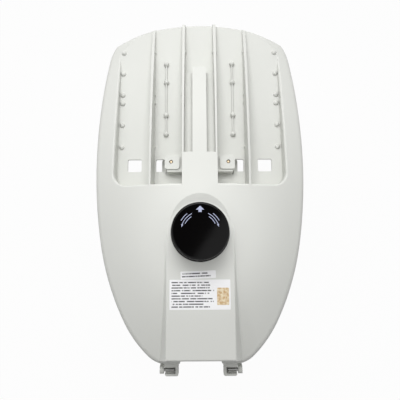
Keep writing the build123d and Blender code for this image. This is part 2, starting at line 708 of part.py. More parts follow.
def door_gasket():
    """Flat seal between the housing's rim and the door, open where the arm comes in."""
    outer = plan(SEAL_INSET)
    inner = plan(WALL)
    front = WEB_FRONT_Y
    seal = outer - inner + Pos(0, front - SEAL_FRONT / 2) * Rectangle(2 * FAR, SEAL_FRONT)
    seal = seal & Pos(0, front - FAR) * Rectangle(2 * FAR, 2 * FAR) & outer
    seal = seal - Pos(0, 0) * Rectangle(2 * ENTRY_RADIUS, 4 * WALL)
    return extrude(Pos(0, 0, DOOR_TOP) * seal, amount=SEAL_THICK)


def door_screw(side):
    """Captive screw: hex-socket head under the tab, its end just below the pad."""
    x = side * SCREW_X
    under = DOOR_TOP - TAB_THICK
    tip = BLOCK_Z + PAD_RISE - DOOR_SCREW_SINK
    shank = disc(DOOR_SCREW_RADIUS, under, tip, x, SCREW_Y)
    head = disc(DOOR_SCREW_HEAD, under - DOOR_SCREW_HEAD_HEIGHT, under, x, SCREW_Y)
    return chamfer(head.edges().group_by(Axis.Z)[0], DOOR_SCREW_CHAMFER) + shank


def pipe_clamp():
    """Saddle bar that two bolts draw up against the arm."""
    section = Rectangle(2 * CLAMP_HALF, CLAMP_THICK, align=(Align.CENTER, Align.MAX))
    bar = extrude(
        Plane((0, CLAMP_Y, CLAMP_TOP), x_dir=(1, 0, 0), z_dir=(0, -1, 0)) * section,
        amount=CLAMP_WIDTH / 2,
        both=True,
    )
    bar = fillet(bar.edges().filter_by(Axis.Z), CLAMP_WIDTH / 4)
    bar -= arm_bore(PIPE_BORE, (CLAMP_Y - CLAMP_WIDTH, CLAMP_Y + CLAMP_WIDTH))
    for side in SIDES:
        bar -= disc(BOLT_RADIUS + BOLT_GAP, CLAMP_UNDER, CLAMP_TOP, side * BOLT_X, CLAMP_Y)
    return bar


def clamp_bolts():
    """Two hex bolts."""
    bolts = []
    under = CLAMP_UNDER - WASHER_THICK
    for side in SIDES:
        hexagon = RegularPolygon(BOLT_HEX, 6)
        head = extrude(Pos(side * BOLT_X, CLAMP_Y, under - BOLT_HEAD) * hexagon, BOLT_HEAD)
        bolts.append(head + disc(BOLT_RADIUS, under, BOLT_TOP, side * BOLT_X, CLAMP_Y))
    return bolts


def clamp_washers():
    """Two flat washers under the bolt heads."""
    washers = []
    for side in SIDES:
        plate = disc(WASHER_RADIUS, CLAMP_UNDER - WASHER_THICK, CLAMP_UNDER, side * BOLT_X, CLAMP_Y)
        hole = disc(BOLT_RADIUS + BOLT_GAP, CLAMP_UNDER - WASHER_THICK, CLAMP_UNDER, side * BOLT_X, CLAMP_Y)
        washers.append(plate - hole)
    return washers


def ring(inner, outer, low, high):
    """A flat ring about the cap's axis."""
    return disc(outer, low, high, 0, CAP_Y) - disc(inner, low, high, 0, CAP_Y)


def blade(angle, span, grow, low, high):
    """A curved blade about the cap's axis, from an angle over a span."""
    thick = BLADE_THICK + 2 * grow
    section = Pos(BLADE_RADIUS, (low + high) / 2) * Rectangle(thick, high - low)
    swept = revolve(Plane.XZ * section, axis=Axis.Z, revolution_arc=span)
    return Pos(0, CAP_Y, 0) * (Rot(0, 0, angle) * swept)


def contact_place(angle):
    """Where a contact stands, halfway along its slot."""
    middle = math.radians(angle + TWIST_TRAVEL / 2)
    return BLADE_RADIUS * math.cos(middle), CAP_Y + BLADE_RADIUS * math.sin(middle)


def receptacle():
    """Twist-lock socket: a flange on the spine and a neck through its roof."""
    seat = SPINE_Z + SOCKET_SEAL
    body = disc(SOCKET_FLANGE, seat, SOCKET_TOP, 0, CAP_Y)
    body = chamfer(body.edges().group_by(Axis.Z)[-1], SOCKET_SEAL)
    body += disc(SOCKET_HOLE - SOCKET_GAP, seat - SOCKET_NECK, seat, 0, CAP_Y)
    slack = math.degrees(SLOT_GAP / BLADE_RADIUS)
    for angle in BLADE_ANGLES:
        start = angle - BLADE_SPAN / 2 - slack
        body -= blade(start, BLADE_SPAN + TWIST_TRAVEL + 2 * slack, SLOT_GAP, SLOT_BOTTOM, SOCKET_TOP)
        body -= disc(CONTACT_RADIUS + PIN_GAP, 0, SLOT_BOTTOM, *contact_place(angle))
    return body


def receptacle_contacts():
    """Three contact pins at the bottom of the socket's slots."""
    low = SLOT_BOTTOM - CONTACT_LENGTH
    return [disc(CONTACT_RADIUS, low, SLOT_BOTTOM, *contact_place(angle)) for angle in BLADE_ANGLES]


def receptacle_nut():
    """Ring nut under the roof, on the socket's neck."""
    high = ROOF_UNDER - NUT_GAP
    nut = extrude(Pos(0, CAP_Y, high - NUT_THICK) * RegularPolygon(NUT_RADIUS, 8), NUT_THICK)
    return nut - disc(SOCKET_HOLE - SOCKET_GAP, 0, FAR, 0, CAP_Y)


def receptacle_gasket():
    """Flat ring between the spine and the socket's flange."""
    return ring(SOCKET_HOLE + SOCKET_SEAL, SOCKET_FLANGE - SOCKET_SEAL, SPINE_Z, SPINE_Z + SOCKET_SEAL)


def cap_shell():
    """Hollow twist-lock cap: flange at its foot, drafted wall, rounded face."""
    inner = CAP_FOOT_RADIUS - CAP_WALL
    seat = CAP_UNDER + CAP_BASE_THICK
    roof = CAP_TOP - CAP_WALL
    profile = Polyline(
        (CAP_FLANGE, CAP_UNDER),
        (CAP_FLANGE, CAP_UNDER + CAP_FLANGE_THICK),
        (CAP_FOOT_RADIUS, CAP_UNDER + CAP_FLANGE_THICK),
        (CAP_FACE_RADIUS, CAP_TOP),
        (0, CAP_TOP),
        (0, roof),
        (CAP_FACE_RADIUS - 2 * CAP_WALL, roof),
        (inner - CAP_WALL, seat),
        (inner, seat),
        (inner, CAP_UNDER),
        close=True,
    )
    shell = revolve(Plane.XZ * make_face(profile.edges()), axis=Axis.Z)
    shell = fillet(shell.edges().group_by(Axis.Z)[-1], CAP_ROUND)
    return Pos(0, CAP_Y, 0) * shell


def cap_base():
    """Disc that closes the cap, with slots for its blades."""
    base = disc(CAP_FOOT_RADIUS - CAP_WALL - PIN_GAP, CAP_UNDER, CAP_UNDER + CAP_BASE_THICK, 0, CAP_Y)
    for angle in BLADE_ANGLES:
        start = angle - BLADE_SPAN / 2
        slack = math.degrees(PIN_GAP / BLADE_RADIUS)
        base -= blade(start - slack, BLADE_SPAN + 2 * slack, PIN_GAP, CAP_UNDER, CAP_UNDER + CAP_BASE_THICK)
    return base


def cap_blades():
    """Three brass blades that hang into the socket."""
    low = SOCKET_TOP - BLADE_REACH
    high = CAP_UNDER + CAP_BASE_THICK
    return [blade(angle - BLADE_SPAN / 2, BLADE_SPAN, 0.0, low, high) for angle in BLADE_ANGLES]


def cap_link():
    """Brass ring that joins the blades inside the cap."""
    low = CAP_UNDER + CAP_BASE_THICK
    return ring(BLADE_RADIUS - 2 * BLADE_THICK, BLADE_RADIUS + 2 * BLADE_THICK, low, low + LINK_THICK)


def cap_gasket():
    """Rubber ring under the cap's base."""
    outer = SOCKET_FLANGE - SOCKET_SEAL
    return ring(SOCKET_HOLE, outer, SOCKET_TOP + CAP_CLEAR, CAP_UNDER)


def gear_box(size, x, y, top, screws):
    """A moulded box that hangs from two posts by its end ears."""
    wide, long, high = size
    box_x = (x - wide / 2, x + wide / 2)
    box_y = (y - long / 2, y + long / 2)
    box = rounded_plate(box_x, box_y, top - high, top, GEAR_ROUND)
    box = chamfer(box.edges().group_by(Axis.Z)[0], GEAR_ROUND / 3)
    for sx, sy in screws:
        ear_x = (min(sx, x) - EAR_WIDTH / 2, max(sx, x) + EAR_WIDTH / 2)
        ear_y = (min(sy, y) - EAR_WIDTH / 2, max(sy, y) + EAR_WIDTH / 2)
        box += rounded_plate(ear_x, ear_y, top - EAR_THICK, top, GEAR_ROUND)
    for sx, sy in screws:
        box -= disc(GEAR_SCREW_RADIUS + GEAR_SCREW_GAP, top - EAR_THICK, top, sx, sy)
    return box


def gear_screws(places, under):
    """Pan-head screws driven up from below."""
    screws = []
    for x, y in places:
        head = disc(GEAR_HEAD_RADIUS, under - GEAR_HEAD_HEIGHT, under, x, y)
        screws.append(head + disc(GEAR_SCREW_RADIUS, under, under + GEAR_SCREW_GRIP, x, y))
    return screws


def terminal_block():
    """Three-pole block with walls between its poles and a wire mouth on each side of a pole."""
    block = gear_box(TERMINAL_SIZE, TERMINAL_X, TERMINAL_Y, TERMINAL_TOP, TERMINAL_SCREWS)
    low = TERMINAL_TOP - TERMINAL_SIZE[2]
    for x in POLE_X:
        y = (TERMINAL_Y - POLE_ROOM / 2, TERMINAL_Y + POLE_ROOM / 2)
        block -= span_box((x - POLE_ROOM / 2, x + POLE_ROOM / 2), y, (low, low + POLE_DEPTH))
        mouth = Cylinder(POLE_MOUTH, 2 * TERMINAL_SIZE[1], rotation=(90, 0, 0))
        block -= Pos(x, TERMINAL_Y, low + POLE_DEPTH - POLE_MOUTH) * mouth
    return block


def terminal_wire_screws():
    """Brass screws in the terminal block's poles."""
    high = TERMINAL_TOP - TERMINAL_SIZE[2] + POLE_DEPTH
    return [disc(POLE_ROOM / 2 - 1, high - GEAR_HEAD_HEIGHT, high, x, TERMINAL_Y) for x in POLE_X]


def wireway_cover():
    """Plate under the tongue and the bar that closes the wireway."""
    wide_y = (WEB_FRONT_Y + WIREWAY_COVER_GAP, TONGUE_FRONT_Y)
    long_y = (TONGUE_FRONT_Y - TONGUE_ROUND, BAR_FRONT_Y)
    low = FLOOR_UNDER - WIREWAY_COVER_THICK
    wide_x = (-TONGUE_HALF, TONGUE_HALF)
    cover = rounded_plate(wide_x, wide_y, low, FLOOR_UNDER, WIREWAY_COVER_ROUND)
    long_half = MODULE_INNER_X - WIREWAY_COVER_GAP
    cover += rounded_plate((-long_half, long_half), long_y, low, FLOOR_UNDER, WIREWAY_COVER_ROUND)
    for x, y in COVER_SCREWS:
        cover -= disc(GEAR_SCREW_RADIUS + GEAR_SCREW_GAP, low, FLOOR_UNDER, x, y)
    return cover


def wireway_grommet():
    """Rubber grommet in the web's hole."""
    body = arm_bore(GROMMET_RADIUS - PIN_GAP, (WEB_REAR_Y, WEB_FRONT_Y))
    body += arm_bore(GROMMET_RADIUS + GROMMET_LIP, (WEB_REAR_Y - GROMMET_LIP, WEB_REAR_Y))
    body -= arm_bore(GROMMET_BORE, (WEB_REAR_Y - WALL, WEB_FRONT_Y + WALL))
    return Pos(0, 0, GROMMET_Z) * body


def board_limits(x, y, grow=0.0):
    """Limits of a module's board, grown outwards."""
    half_x = MODULE_WIDTH / 2 - BOARD_MARGIN + grow
    half_y = MODULE_LENGTH / 2 - BOARD_MARGIN + grow
    return (x - half_x, x + half_x), (y - half_y, y + half_y)


def led_board(side, x, y):
    """Metal-core board against the tray's floor, with holes for the field screws."""
    board = rounded_plate(*board_limits(x, y), LENS_TOP, FLOOR_UNDER, BOARD_ROUND)
    for sx, sy in module_screws(side, x, y)[-2:]:
        board -= disc(LENS_SCREW_RADIUS + LENS_SCREW_GAP, LENS_TOP, FLOOR_UNDER, sx, sy)
    return board


def lens_gasket(x, y):
    """Rubber frame round a board."""
    outer = rounded_plate(*board_limits(x, y, SEAL_GAP + SEAL_WIDTH), LENS_TOP, FLOOR_UNDER, BOARD_ROUND)
    return outer - rounded_plate(*board_limits(x, y, SEAL_GAP), LENS_TOP, FLOOR_UNDER, BOARD_ROUND)


def lens_plate(side, x, y):
    """Clear plate with one raised lens under each LED."""
    plate_x = (x - MODULE_WIDTH / 2, x + MODULE_WIDTH / 2)
    plate_y = (y - MODULE_LENGTH / 2, y + MODULE_LENGTH / 2)
    plate = rounded_plate(plate_x, plate_y, LENS_UNDER, LENS_TOP, MODULE_ROUND)
    long, wide = LENS_SIZE
    corner = wide / 3
    outline = chamfer(Rectangle(long, wide).vertices(), corner)
    for lx, ly in lens_places(side, x, y):
        plate += extrude(Pos(lx, ly, LENS_UNDER) * outline, LENS_HEIGHT, dir=(0, 0, -1), taper=LENS_TAPER)
        half = CHIP_POCKET / 2
        plate -= span_box((lx - half, lx + half), (ly - half, ly + half), (LENS_TOP - CHIP_ROOM, LENS_TOP))
    for sx, sy in module_screws(side, x, y):
        plate -= disc(LENS_SCREW_RADIUS + LENS_SCREW_GAP, LENS_UNDER, LENS_TOP, sx, sy)
    return plate


def led_chips():
    """One small package under each board place."""
    half = CHIP_SIZE / 2
    chips = []
    for _, side, x, y in module_sites():
        for lx, ly in lens_places(side, x, y):
            limits = (lx - half, lx + half), (ly - half, ly + half)
            chips.append(span_box(*limits, (LENS_TOP - CHIP_THICK, LENS_TOP)))
    return chips


def lens_screws():
    """Screws that hold the lens plates up against the tray's floor."""
    screws = []
    tip = FLOOR_UNDER + LENS_SCREW_GRIP - LENS_SCREW_GAP
    for x, y in all_lens_screws():
        head = disc(LENS_HEAD_RADIUS, LENS_UNDER - LENS_HEAD_HEIGHT, LENS_UNDER, x, y)
        screws.append(head + disc(LENS_SCREW_RADIUS, LENS_UNDER, tip, x, y))
    return screws


def save(name, shape):
    """Write one node, a single solid or a group of like ones."""
    items = shape if isinstance(shape, list) else [shape]
    to_origin = Pos(0, -CLAMP_Y, 0)
    solids = [to_origin * solid for item in items for solid in item.solids()]
    export_step(Compound(children=solids), f"parts/{name}.step")


def main():
    os.makedirs("parts", exist_ok=True)
    save("top_housing", top_housing())
    save("door", door())
    save("hinge_pins", hinge_pins())
    save("door_gasket", door_gasket())
    save("door_screw_left", door_screw(-1))
    save("door_screw_right", door_screw(1))
    save("pipe_clamp", pipe_clamp())
    save("clamp_bolts", clamp_bolts())
    save("clamp_washers", clamp_washers())
    save("receptacle", receptacle())
    save("receptacle_contacts", receptacle_contacts())
    save("receptacle_nut", receptacle_nut())
    save("receptacle_gasket", receptacle_gasket())
    save("cap_shell", cap_shell())
    save("cap_base", cap_base())
    save("cap_blades", cap_blades())
    save("cap_link", cap_link())
    save("cap_gasket", cap_gasket())
    save("led_driver", gear_box(DRIVER_SIZE, DRIVER_X, DRIVER_Y, DRIVER_TOP, DRIVER_SCREWS))
    save("driver_screws", gear_screws(DRIVER_SCREWS, DRIVER_TOP - EAR_THICK))
    save("surge_protector", gear_box(SURGE_SIZE, SURGE_X, SURGE_Y, SURGE_TOP, SURGE_SCREWS))
    save("surge_screws", gear_screws(SURGE_SCREWS, SURGE_TOP - EAR_THICK))
    save("terminal_block", terminal_block())
    save("terminal_screws", gear_screws(TERMINAL_SCREWS, TERMINAL_TOP - EAR_THICK))
    save("terminal_wire_screws", terminal_wire_screws())
    save("earth_screw", gear_screws([EARTH_XY], EARTH_TOP))
    save("wireway_cover", wireway_cover())
    save("wireway_cover_screws", gear_screws(COVER_SCREWS, FLOOR_UNDER - WIREWAY_COVER_THICK))
    save("wireway_grommet", wireway_grommet())
    for name, side, x, y in module_sites():
        save(f"led_board_{name}", led_board(side, x, y))
        save(f"lens_gasket_{name}", lens_gasket(x, y))
        save(f"lens_plate_{name}", lens_plate(side, x, y))
    save("led_chips", led_chips())
    save("lens_screws", lens_screws())


if __name__ == "__main__":
    main()
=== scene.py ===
# %% [markdown]
# # An LED street-light head
# The object is a cast street-light head that clamps on a mast arm: a pale powder-coated housing, a
# twist-lock cap on its spine, a hinged door below and four LED modules behind clear optics.
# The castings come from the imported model, so this file only dresses them: finishes, prints,
# stickers, screws with real recesses, and moulded optics.

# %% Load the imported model
import math
import bmesh
import bpy
from mathutils import Matrix, Vector
from mathutils.bvhtree import BVHTree


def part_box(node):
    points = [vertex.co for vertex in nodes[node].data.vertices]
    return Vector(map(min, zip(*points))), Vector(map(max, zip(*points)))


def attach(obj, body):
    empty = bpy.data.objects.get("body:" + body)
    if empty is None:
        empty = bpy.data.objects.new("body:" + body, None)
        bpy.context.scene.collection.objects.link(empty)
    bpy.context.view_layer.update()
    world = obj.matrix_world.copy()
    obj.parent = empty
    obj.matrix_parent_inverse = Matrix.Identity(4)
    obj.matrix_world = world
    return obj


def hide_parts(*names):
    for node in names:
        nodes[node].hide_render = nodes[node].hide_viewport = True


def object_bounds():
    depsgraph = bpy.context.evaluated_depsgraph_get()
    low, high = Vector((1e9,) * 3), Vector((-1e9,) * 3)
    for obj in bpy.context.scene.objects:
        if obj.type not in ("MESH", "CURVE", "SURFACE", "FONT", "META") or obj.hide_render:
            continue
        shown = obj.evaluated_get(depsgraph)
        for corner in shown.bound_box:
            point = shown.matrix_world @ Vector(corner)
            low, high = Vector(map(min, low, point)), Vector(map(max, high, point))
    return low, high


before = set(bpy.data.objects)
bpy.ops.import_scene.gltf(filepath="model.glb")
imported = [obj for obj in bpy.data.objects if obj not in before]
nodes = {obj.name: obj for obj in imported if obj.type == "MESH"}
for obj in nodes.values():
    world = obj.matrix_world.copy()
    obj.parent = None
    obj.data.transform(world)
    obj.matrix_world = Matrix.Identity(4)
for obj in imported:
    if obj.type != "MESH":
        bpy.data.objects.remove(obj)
cad_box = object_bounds()
scene = bpy.context.scene

# %% [markdown]
# ## Camera
# The photograph looks almost straight down on the head, from a little behind the cap. A camera with
# a 36 mm lens on a 36 mm sensor has the same spread. Its place follows from a point on the spine,
# a distance and a tilt, which is easier to adjust than three coordinates and three angles.

# %% Camera over the spine
VIEW_POINT = Vector((0.0, 0.190, 0.045))
VIEW_DISTANCE = 0.625
VIEW_TILT = math.radians(8.5)
VIEW_ROLL = math.radians(-0.36)
LENS_MM = 36.0
SENSOR_MM = 36.0
NEAREST_SEEN = 0.01

camera_data = bpy.data.cameras.new("overhead_camera")
camera_data.lens = LENS_MM
camera_data.sensor_width = SENSOR_MM
camera_data.clip_start = NEAREST_SEEN
camera = bpy.data.objects.new("overhead_camera", camera_data)
scene.collection.objects.link(camera)
back = Vector((0.0, -math.sin(VIEW_TILT), math.cos(VIEW_TILT)))
up = Vector((0.0, math.cos(VIEW_TILT), math.sin(VIEW_TILT)))
right = up.cross(back)
turn = Matrix((right, up, back)).transposed().to_4x4()
stand = Matrix.Translation(VIEW_POINT + VIEW_DISTANCE * back)
camera.matrix_world = stand @ turn @ Matrix.Rotation(VIEW_ROLL, 4, "Z")
scene.camera = camera
scene.view_settings.view_transform = "Standard"
print("camera at", [round(value, 3) for value in camera.location])

# %% [markdown]
# ## Floor
# The head hangs on its arm, so the pale floor lies below the open door. It could be lit until it
# turns white, but then the head would burn out too. Light Path tells the kinds of ray apart, so the
# camera and mirrors see a white glow with a faint shadow, and all other light meets pale paint.


# %% Material helpers
def new_material(name):
    """A fresh node material and the things needed to wire it."""
    material = bpy.data.materials.new(name)
    material.use_nodes = True
    tree = material.node_tree
    return material, tree.nodes, tree.links, tree.nodes["Principled BSDF"]


def calc(parts, links, operation, *values, clamp=False):
    """The result of a Math node whose inputs are sockets or plain numbers."""
    node = parts.new("ShaderNodeMath")
    node.operation = operation
    node.use_clamp = clamp
    for socket, value in zip(node.inputs, values):
        if isinstance(value, (int, float)):
            socket.default_value = value
        else:
            links.new(value, socket)
    return node.outputs[0]


print("helpers", new_material.__name__, calc.__name__)

# %% Floor
FLOOR_DROP = 0.36
FLOOR_SIZE = 6.0
FLOOR_PAINT = (0.86, 0.86, 0.86, 1.0)
FLOOR_ROUGH = 0.9
SHADOW_SHARE = 0.05


def floor_material():
    """White to the camera and to mirrors, plain pale paint to every other ray."""
    material, parts, links, paint = new_material("studio_floor")
    paint.inputs["Base Color"].default_value = FLOOR_PAINT
    paint.inputs["Roughness"].default_value = FLOOR_ROUGH
    ray = parts.new("ShaderNodeLightPath")
    gloss, glass = ray.outputs["Is Glossy Ray"], ray.outputs["Is Transmission Ray"]
    mirrored = calc(parts, links, "ADD", gloss, glass, clamp=True)
    eye = ray.outputs["Is Camera Ray"]
    seen = calc(parts, links, "MULTIPLY_ADD", eye, 1.0 - SHADOW_SHARE, mirrored)
    glow = parts.new("ShaderNodeEmission")
    blend = parts.new("ShaderNodeMixShader")
    links.new(seen, blend.inputs["Fac"])
    links.new(paint.outputs[0], blend.inputs[1])
    links.new(glow.outputs[0], blend.inputs[2])
    links.new(blend.outputs[0], parts["Material Output"].inputs["Surface"])
    return material


floor_z = cad_box[0][2] - FLOOR_DROP
bpy.ops.mesh.primitive_plane_add(size=FLOOR_SIZE, location=(0.0, VIEW_POINT.y, floor_z))
floor = bpy.context.object
floor.name = "studio_floor"
floor.data.materials.append(floor_material())
print("floor at", round(floor_z, 3))

# %% [markdown]
# ## Sky
# Most of the light is a soft sky, brighter high up and towards the street side, as the shading in
# the photograph shows. A picture of a sky would need a file. Here the direction of each ray gives
# the strength in a few nodes, and the camera, mirrors and glass see plain white.


# %% Number and colour ranges
def value_range(parts, links, factor, low, high, start=0.0, end=1.0):
    """A number that goes from low to high as the factor goes from start to end."""
    span = parts.new("ShaderNodeMapRange")
    span.inputs["From Min"].default_value = start
    span.inputs["From Max"].default_value = end
    span.inputs["To Min"].default_value = low
    span.inputs["To Max"].default_value = high
    links.new(factor, span.inputs["Value"])
    return span.outputs["Result"]


def between(parts, links, factor, low, high):
    """A colour that goes from low, a colour or a socket, to high with a factor socket."""
    mix = parts.new("ShaderNodeMix")
    mix.data_type = "RGBA"
    if isinstance(low, tuple):
        mix.inputs["A"].default_value = (*low, 1.0)
    else:
        links.new(low, mix.inputs["A"])
    mix.inputs["B"].default_value = (*high, 1.0)
    links.new(factor, mix.inputs["Factor"])
    return mix.outputs["Result"]


print("helpers", value_range.__name__, between.__name__)

# %% Sky
SKY_SIDE = 0.42
SKY_HIGH = 0.62
SKY_LEAN = 0.46
WHITE = (1.0, 1.0, 1.0, 1.0)


def make_sky():
    """A soft sky, brighter high up and to the street side, white to camera, mirrors and glass."""
    world = bpy.data.worlds.new("studio_sky")
    scene.world = world
    world.use_nodes = True
    parts, links = world.node_tree.nodes, world.node_tree.links
    place = parts.new("ShaderNodeTexCoord")
    split = parts.new("ShaderNodeSeparateXYZ")
    links.new(place.outputs["Generated"], split.inputs[0])
    height = value_range(parts, links, split.outputs["Z"], SKY_SIDE, SKY_HIGH)
    lean = calc(parts, links, "MULTIPLY_ADD", split.outputs["Y"], SKY_LEAN, height)
    ray = parts.new("ShaderNodeLightPath")
    eye, glass = ray.outputs["Is Camera Ray"], ray.outputs["Is Transmission Ray"]
    seen = calc(parts, links, "ADD", eye, glass)
    plain = calc(parts, links, "ADD", seen, ray.outputs["Is Glossy Ray"], clamp=True)
    strength = parts.new("ShaderNodeMix")
    strength.inputs["B"].default_value = 1.0
    links.new(plain, strength.inputs["Factor"])
    links.new(lean, strength.inputs["A"])
    parts["Background"].inputs["Color"].default_value = WHITE
    links.new(strength.outputs["Result"], parts["Background"].inputs["Strength"])


make_sky()
print("sky from", SKY_SIDE, "at the side to", SKY_HIGH, "overhead, lean", SKY_LEAN)

# %% [markdown]
# ## Black card
# The cap is polished, so its flat face mirrors whatever hangs above it, and a blacker colour can't
# change that. In a studio a black card held overhead keeps such a face dark. This one is hidden
# from all but glossy rays, so it casts no shadow, and its slanted edge leaves a soft grey wedge on
# the cap.

# %% Black card over the cap
FLAG_SIZE = 0.36
FLAG_PLACE = (-0.118, 0.284, 1.0)
FLAG_TURN = (0.0, 0.0, math.radians(-34.0))
CARD_BLACK = (0.004, 0.004, 0.004, 1.0)

bpy.ops.mesh.primitive_plane_add(size=FLAG_SIZE, location=FLAG_PLACE, rotation=FLAG_TURN)
flag = bpy.context.object
flag.name = "black_flag"
card, _, _, card_shader = new_material("black_card")
card_shader.inputs["Base Color"].default_value = CARD_BLACK
card_shader.inputs["Roughness"].default_value = 1.0
card_shader.inputs["Specular IOR Level"].default_value = 0.0
flag.data.materials.append(card)
flag.visible_camera = flag.visible_diffuse = False
flag.visible_shadow = flag.visible_transmission = False
print("black card at", FLAG_PLACE)

# %% [markdown]
# ## Lamps
# One bare lamp would give hard shadows, so a soft key lamp stands towards the street side and a
# little left, and a small lamp behind puts a glint on edges. The tall cap shades the spine round
# its foot, so a narrow spot with a soft edge lifts that patch. The spot is hidden from gloss, which
# keeps the cap's face dark.

# %% Lamps
KEY_POWER = 3.4
KEY_SIZE = 0.5
KEY_PLACE = (-0.05, 0.56, 0.66)
RIM_POWER = 0.6
RIM_SIZE = 0.08
RIM_PLACE = (-0.75, -0.45, 0.75)
SPOT_POWER = 6.6
SPOT_SIZE = 0.04
SPOT_PLACE = (0.03, 0.11, 0.95)
SPOT_AIM = Vector((0.004, 0.14, 0.06))
SPOT_SPREAD = math.radians(17.0)
SPOT_SOFTNESS = 1.0


def new_lamp(name, kind, place, aim, power):
    """A lamp that faces a point and that the camera doesn't see."""
    data = bpy.data.lights.new(name, kind)
    data.energy = power
    lamp = bpy.data.objects.new(name, data)
    scene.collection.objects.link(lamp)
    lamp.location = place
    lamp.rotation_euler = (aim - Vector(place)).to_track_quat("-Z", "Y").to_euler()
    lamp.visible_camera = False
    return lamp


key = new_lamp("key_lamp", "AREA", KEY_PLACE, VIEW_POINT, KEY_POWER)
key.data.size = KEY_SIZE
rim_light = new_lamp("rim_lamp", "AREA", RIM_PLACE, VIEW_POINT, RIM_POWER)
rim_light.data.size = RIM_SIZE
spot = new_lamp("cap_spot", "SPOT", SPOT_PLACE, SPOT_AIM, SPOT_POWER)
spot.data.shadow_soft_size = SPOT_SIZE
spot.data.spot_size = SPOT_SPREAD
spot.data.spot_blend = SPOT_SOFTNESS
spot.visible_glossy = False
print("lamps", [lamp.name for lamp in (key, rim_light, spot)])

# %% [markdown]
# ## Shared surface effects
# Four effects turn up in several finishes, so each is a node group made once: the tiny orange peel
# of a sprayed or moulded skin with a slow drift of tone, fine rubbed lines on metal and gloss
# plastic, painted shade in creases and a painted highlight on edges. The first two read object
# coordinates in metres, so a scale of 1000 means grains of about a millimetre. The last two compare
# a point with the surface around it.


# %% Node group helpers
def new_group(name, inputs, outputs):
    """An empty shader node group with named number sockets, and its two end nodes."""
    group = bpy.data.node_groups.new(name, "ShaderNodeTree")
    sides = group.interface
    for title, value in inputs:
        socket = sides.new_socket(name=title, in_out="INPUT", socket_type="NodeSocketFloat")
        socket.default_value = value
    for title in outputs:
        sides.new_socket(name=title, in_out="OUTPUT", socket_type="NodeSocketFloat")
    return group, group.nodes.new("NodeGroupInput"), group.nodes.new("NodeGroupOutput")


def place_group(parts, group, **values):
    """Put a group into a material with its own values."""
    node = parts.new("ShaderNodeGroup")
    node.node_tree = group
    for title, value in values.items():
        node.inputs[title.replace("_", " ")].default_value = value
    return node


print("helpers", new_group.__name__, place_group.__name__)

# %% Grain: orange peel and slow drift
FINE_DETAIL = 2.0
SLOW_DETAIL = 4.0


def make_grain():
    """Height of a fine skin and a slow drift of tone, both from 0 to 1."""
    inputs = [("Grain Scale", 900.0), ("Drift Scale", 14.0)]
    group, inlet, outlet = new_group("skin_grain", inputs, ["Height", "Drift"])
    place = group.nodes.new("ShaderNodeTexCoord")
    noises = (("Grain Scale", FINE_DETAIL, "Height"), ("Drift Scale", SLOW_DETAIL, "Drift"))
    for scale, detail, result in noises:
        noise = group.nodes.new("ShaderNodeTexNoise")
        noise.inputs["Detail"].default_value = detail
        group.links.new(place.outputs["Object"], noise.inputs["Vector"])
        group.links.new(inlet.outputs[scale], noise.inputs["Scale"])
        group.links.new(noise.outputs["Fac"], outlet.inputs[result])
    return group


SKIN_GRAIN = make_grain()
print("group", SKIN_GRAIN.name)

# %% Rubbed lines
LINE_DETAIL = 3.0


def make_rubbing():
    """A mask of short rubbed lines, stretched along X."""
    inputs = [("Line Scale", 700.0), ("Stretch", 14.0)]
    group, inlet, outlet = new_group("rubbed_lines", inputs, ["Lines"])
    parts, links = group.nodes, group.links
    place = parts.new("ShaderNodeTexCoord")
    squeeze = parts.new("ShaderNodeCombineXYZ")
    squeeze.inputs["Y"].default_value = 1.0
    squeeze.inputs["Z"].default_value = 1.0
    stretch = parts.new("ShaderNodeVectorMath")
    stretch.operation = "MULTIPLY"
    noise = parts.new("ShaderNodeTexNoise")
    noise.inputs["Detail"].default_value = LINE_DETAIL
    links.new(calc(parts, links, "DIVIDE", 1.0, inlet.outputs["Stretch"]), squeeze.inputs["X"])
    links.new(place.outputs["Object"], stretch.inputs[0])
    links.new(squeeze.outputs[0], stretch.inputs[1])
    links.new(stretch.outputs[0], noise.inputs["Vector"])
    links.new(inlet.outputs["Line Scale"], noise.inputs["Scale"])
    links.new(noise.outputs["Fac"], outlet.inputs["Lines"])
    return group


RUBBED_LINES = make_rubbing()
print("group", RUBBED_LINES.name)

# %% Creases and edges: painted shade and painted highlight
CREASE_SAMPLES = 4
EDGE_SAMPLES = 6
EDGE_GAIN = 4.0


# The powder coat uses this depth for painted shade in creases and pockets.
def make_corner_shade():
    """How deep a point lies in a corner, from 0 in the open to 1 in a crease."""
    group, inlet, outlet = new_group("corner_shade", [("Reach", 0.006)], ["Depth"])
    parts, links = group.nodes, group.links
    nearby = parts.new("ShaderNodeAmbientOcclusion")
    nearby.samples = CREASE_SAMPLES
    nearby.only_local = True
    links.new(inlet.outputs["Reach"], nearby.inputs["Distance"])
    links.new(calc(parts, links, "SUBTRACT", 1.0, nearby.outputs["AO"]), outlet.inputs["Depth"])
    return group


# The coat and the cap use this edge mask for a painted highlight on edges.
def make_painted_edge_highlight():
    """How sharply the surface turns nearby, from 0 on a flat to 1 on a hard edge."""
    group, inlet, outlet = new_group("painted_edge_highlight", [("Reach", 0.001)], ["Edge"])
    parts, links = group.nodes, group.links
    rounded = parts.new("ShaderNodeBevel")
    rounded.samples = EDGE_SAMPLES
    flat = parts.new("ShaderNodeNewGeometry")
    align = parts.new("ShaderNodeVectorMath")
    align.operation = "DOT_PRODUCT"
    links.new(inlet.outputs["Reach"], rounded.inputs["Radius"])
    links.new(rounded.outputs["Normal"], align.inputs[0])
    links.new(flat.outputs["Normal"], align.inputs[1])
    same = align.outputs["Value"]
    edge = calc(parts, links, "MULTIPLY_ADD", same, -EDGE_GAIN, EDGE_GAIN, clamp=True)
    links.new(edge, outlet.inputs["Edge"])
    return group


CORNER_SHADE = make_corner_shade()
PAINTED_EDGE_HIGHLIGHT = make_painted_edge_highlight()
print("groups", CORNER_SHADE.name, PAINTED_EDGE_HIGHLIGHT.name)
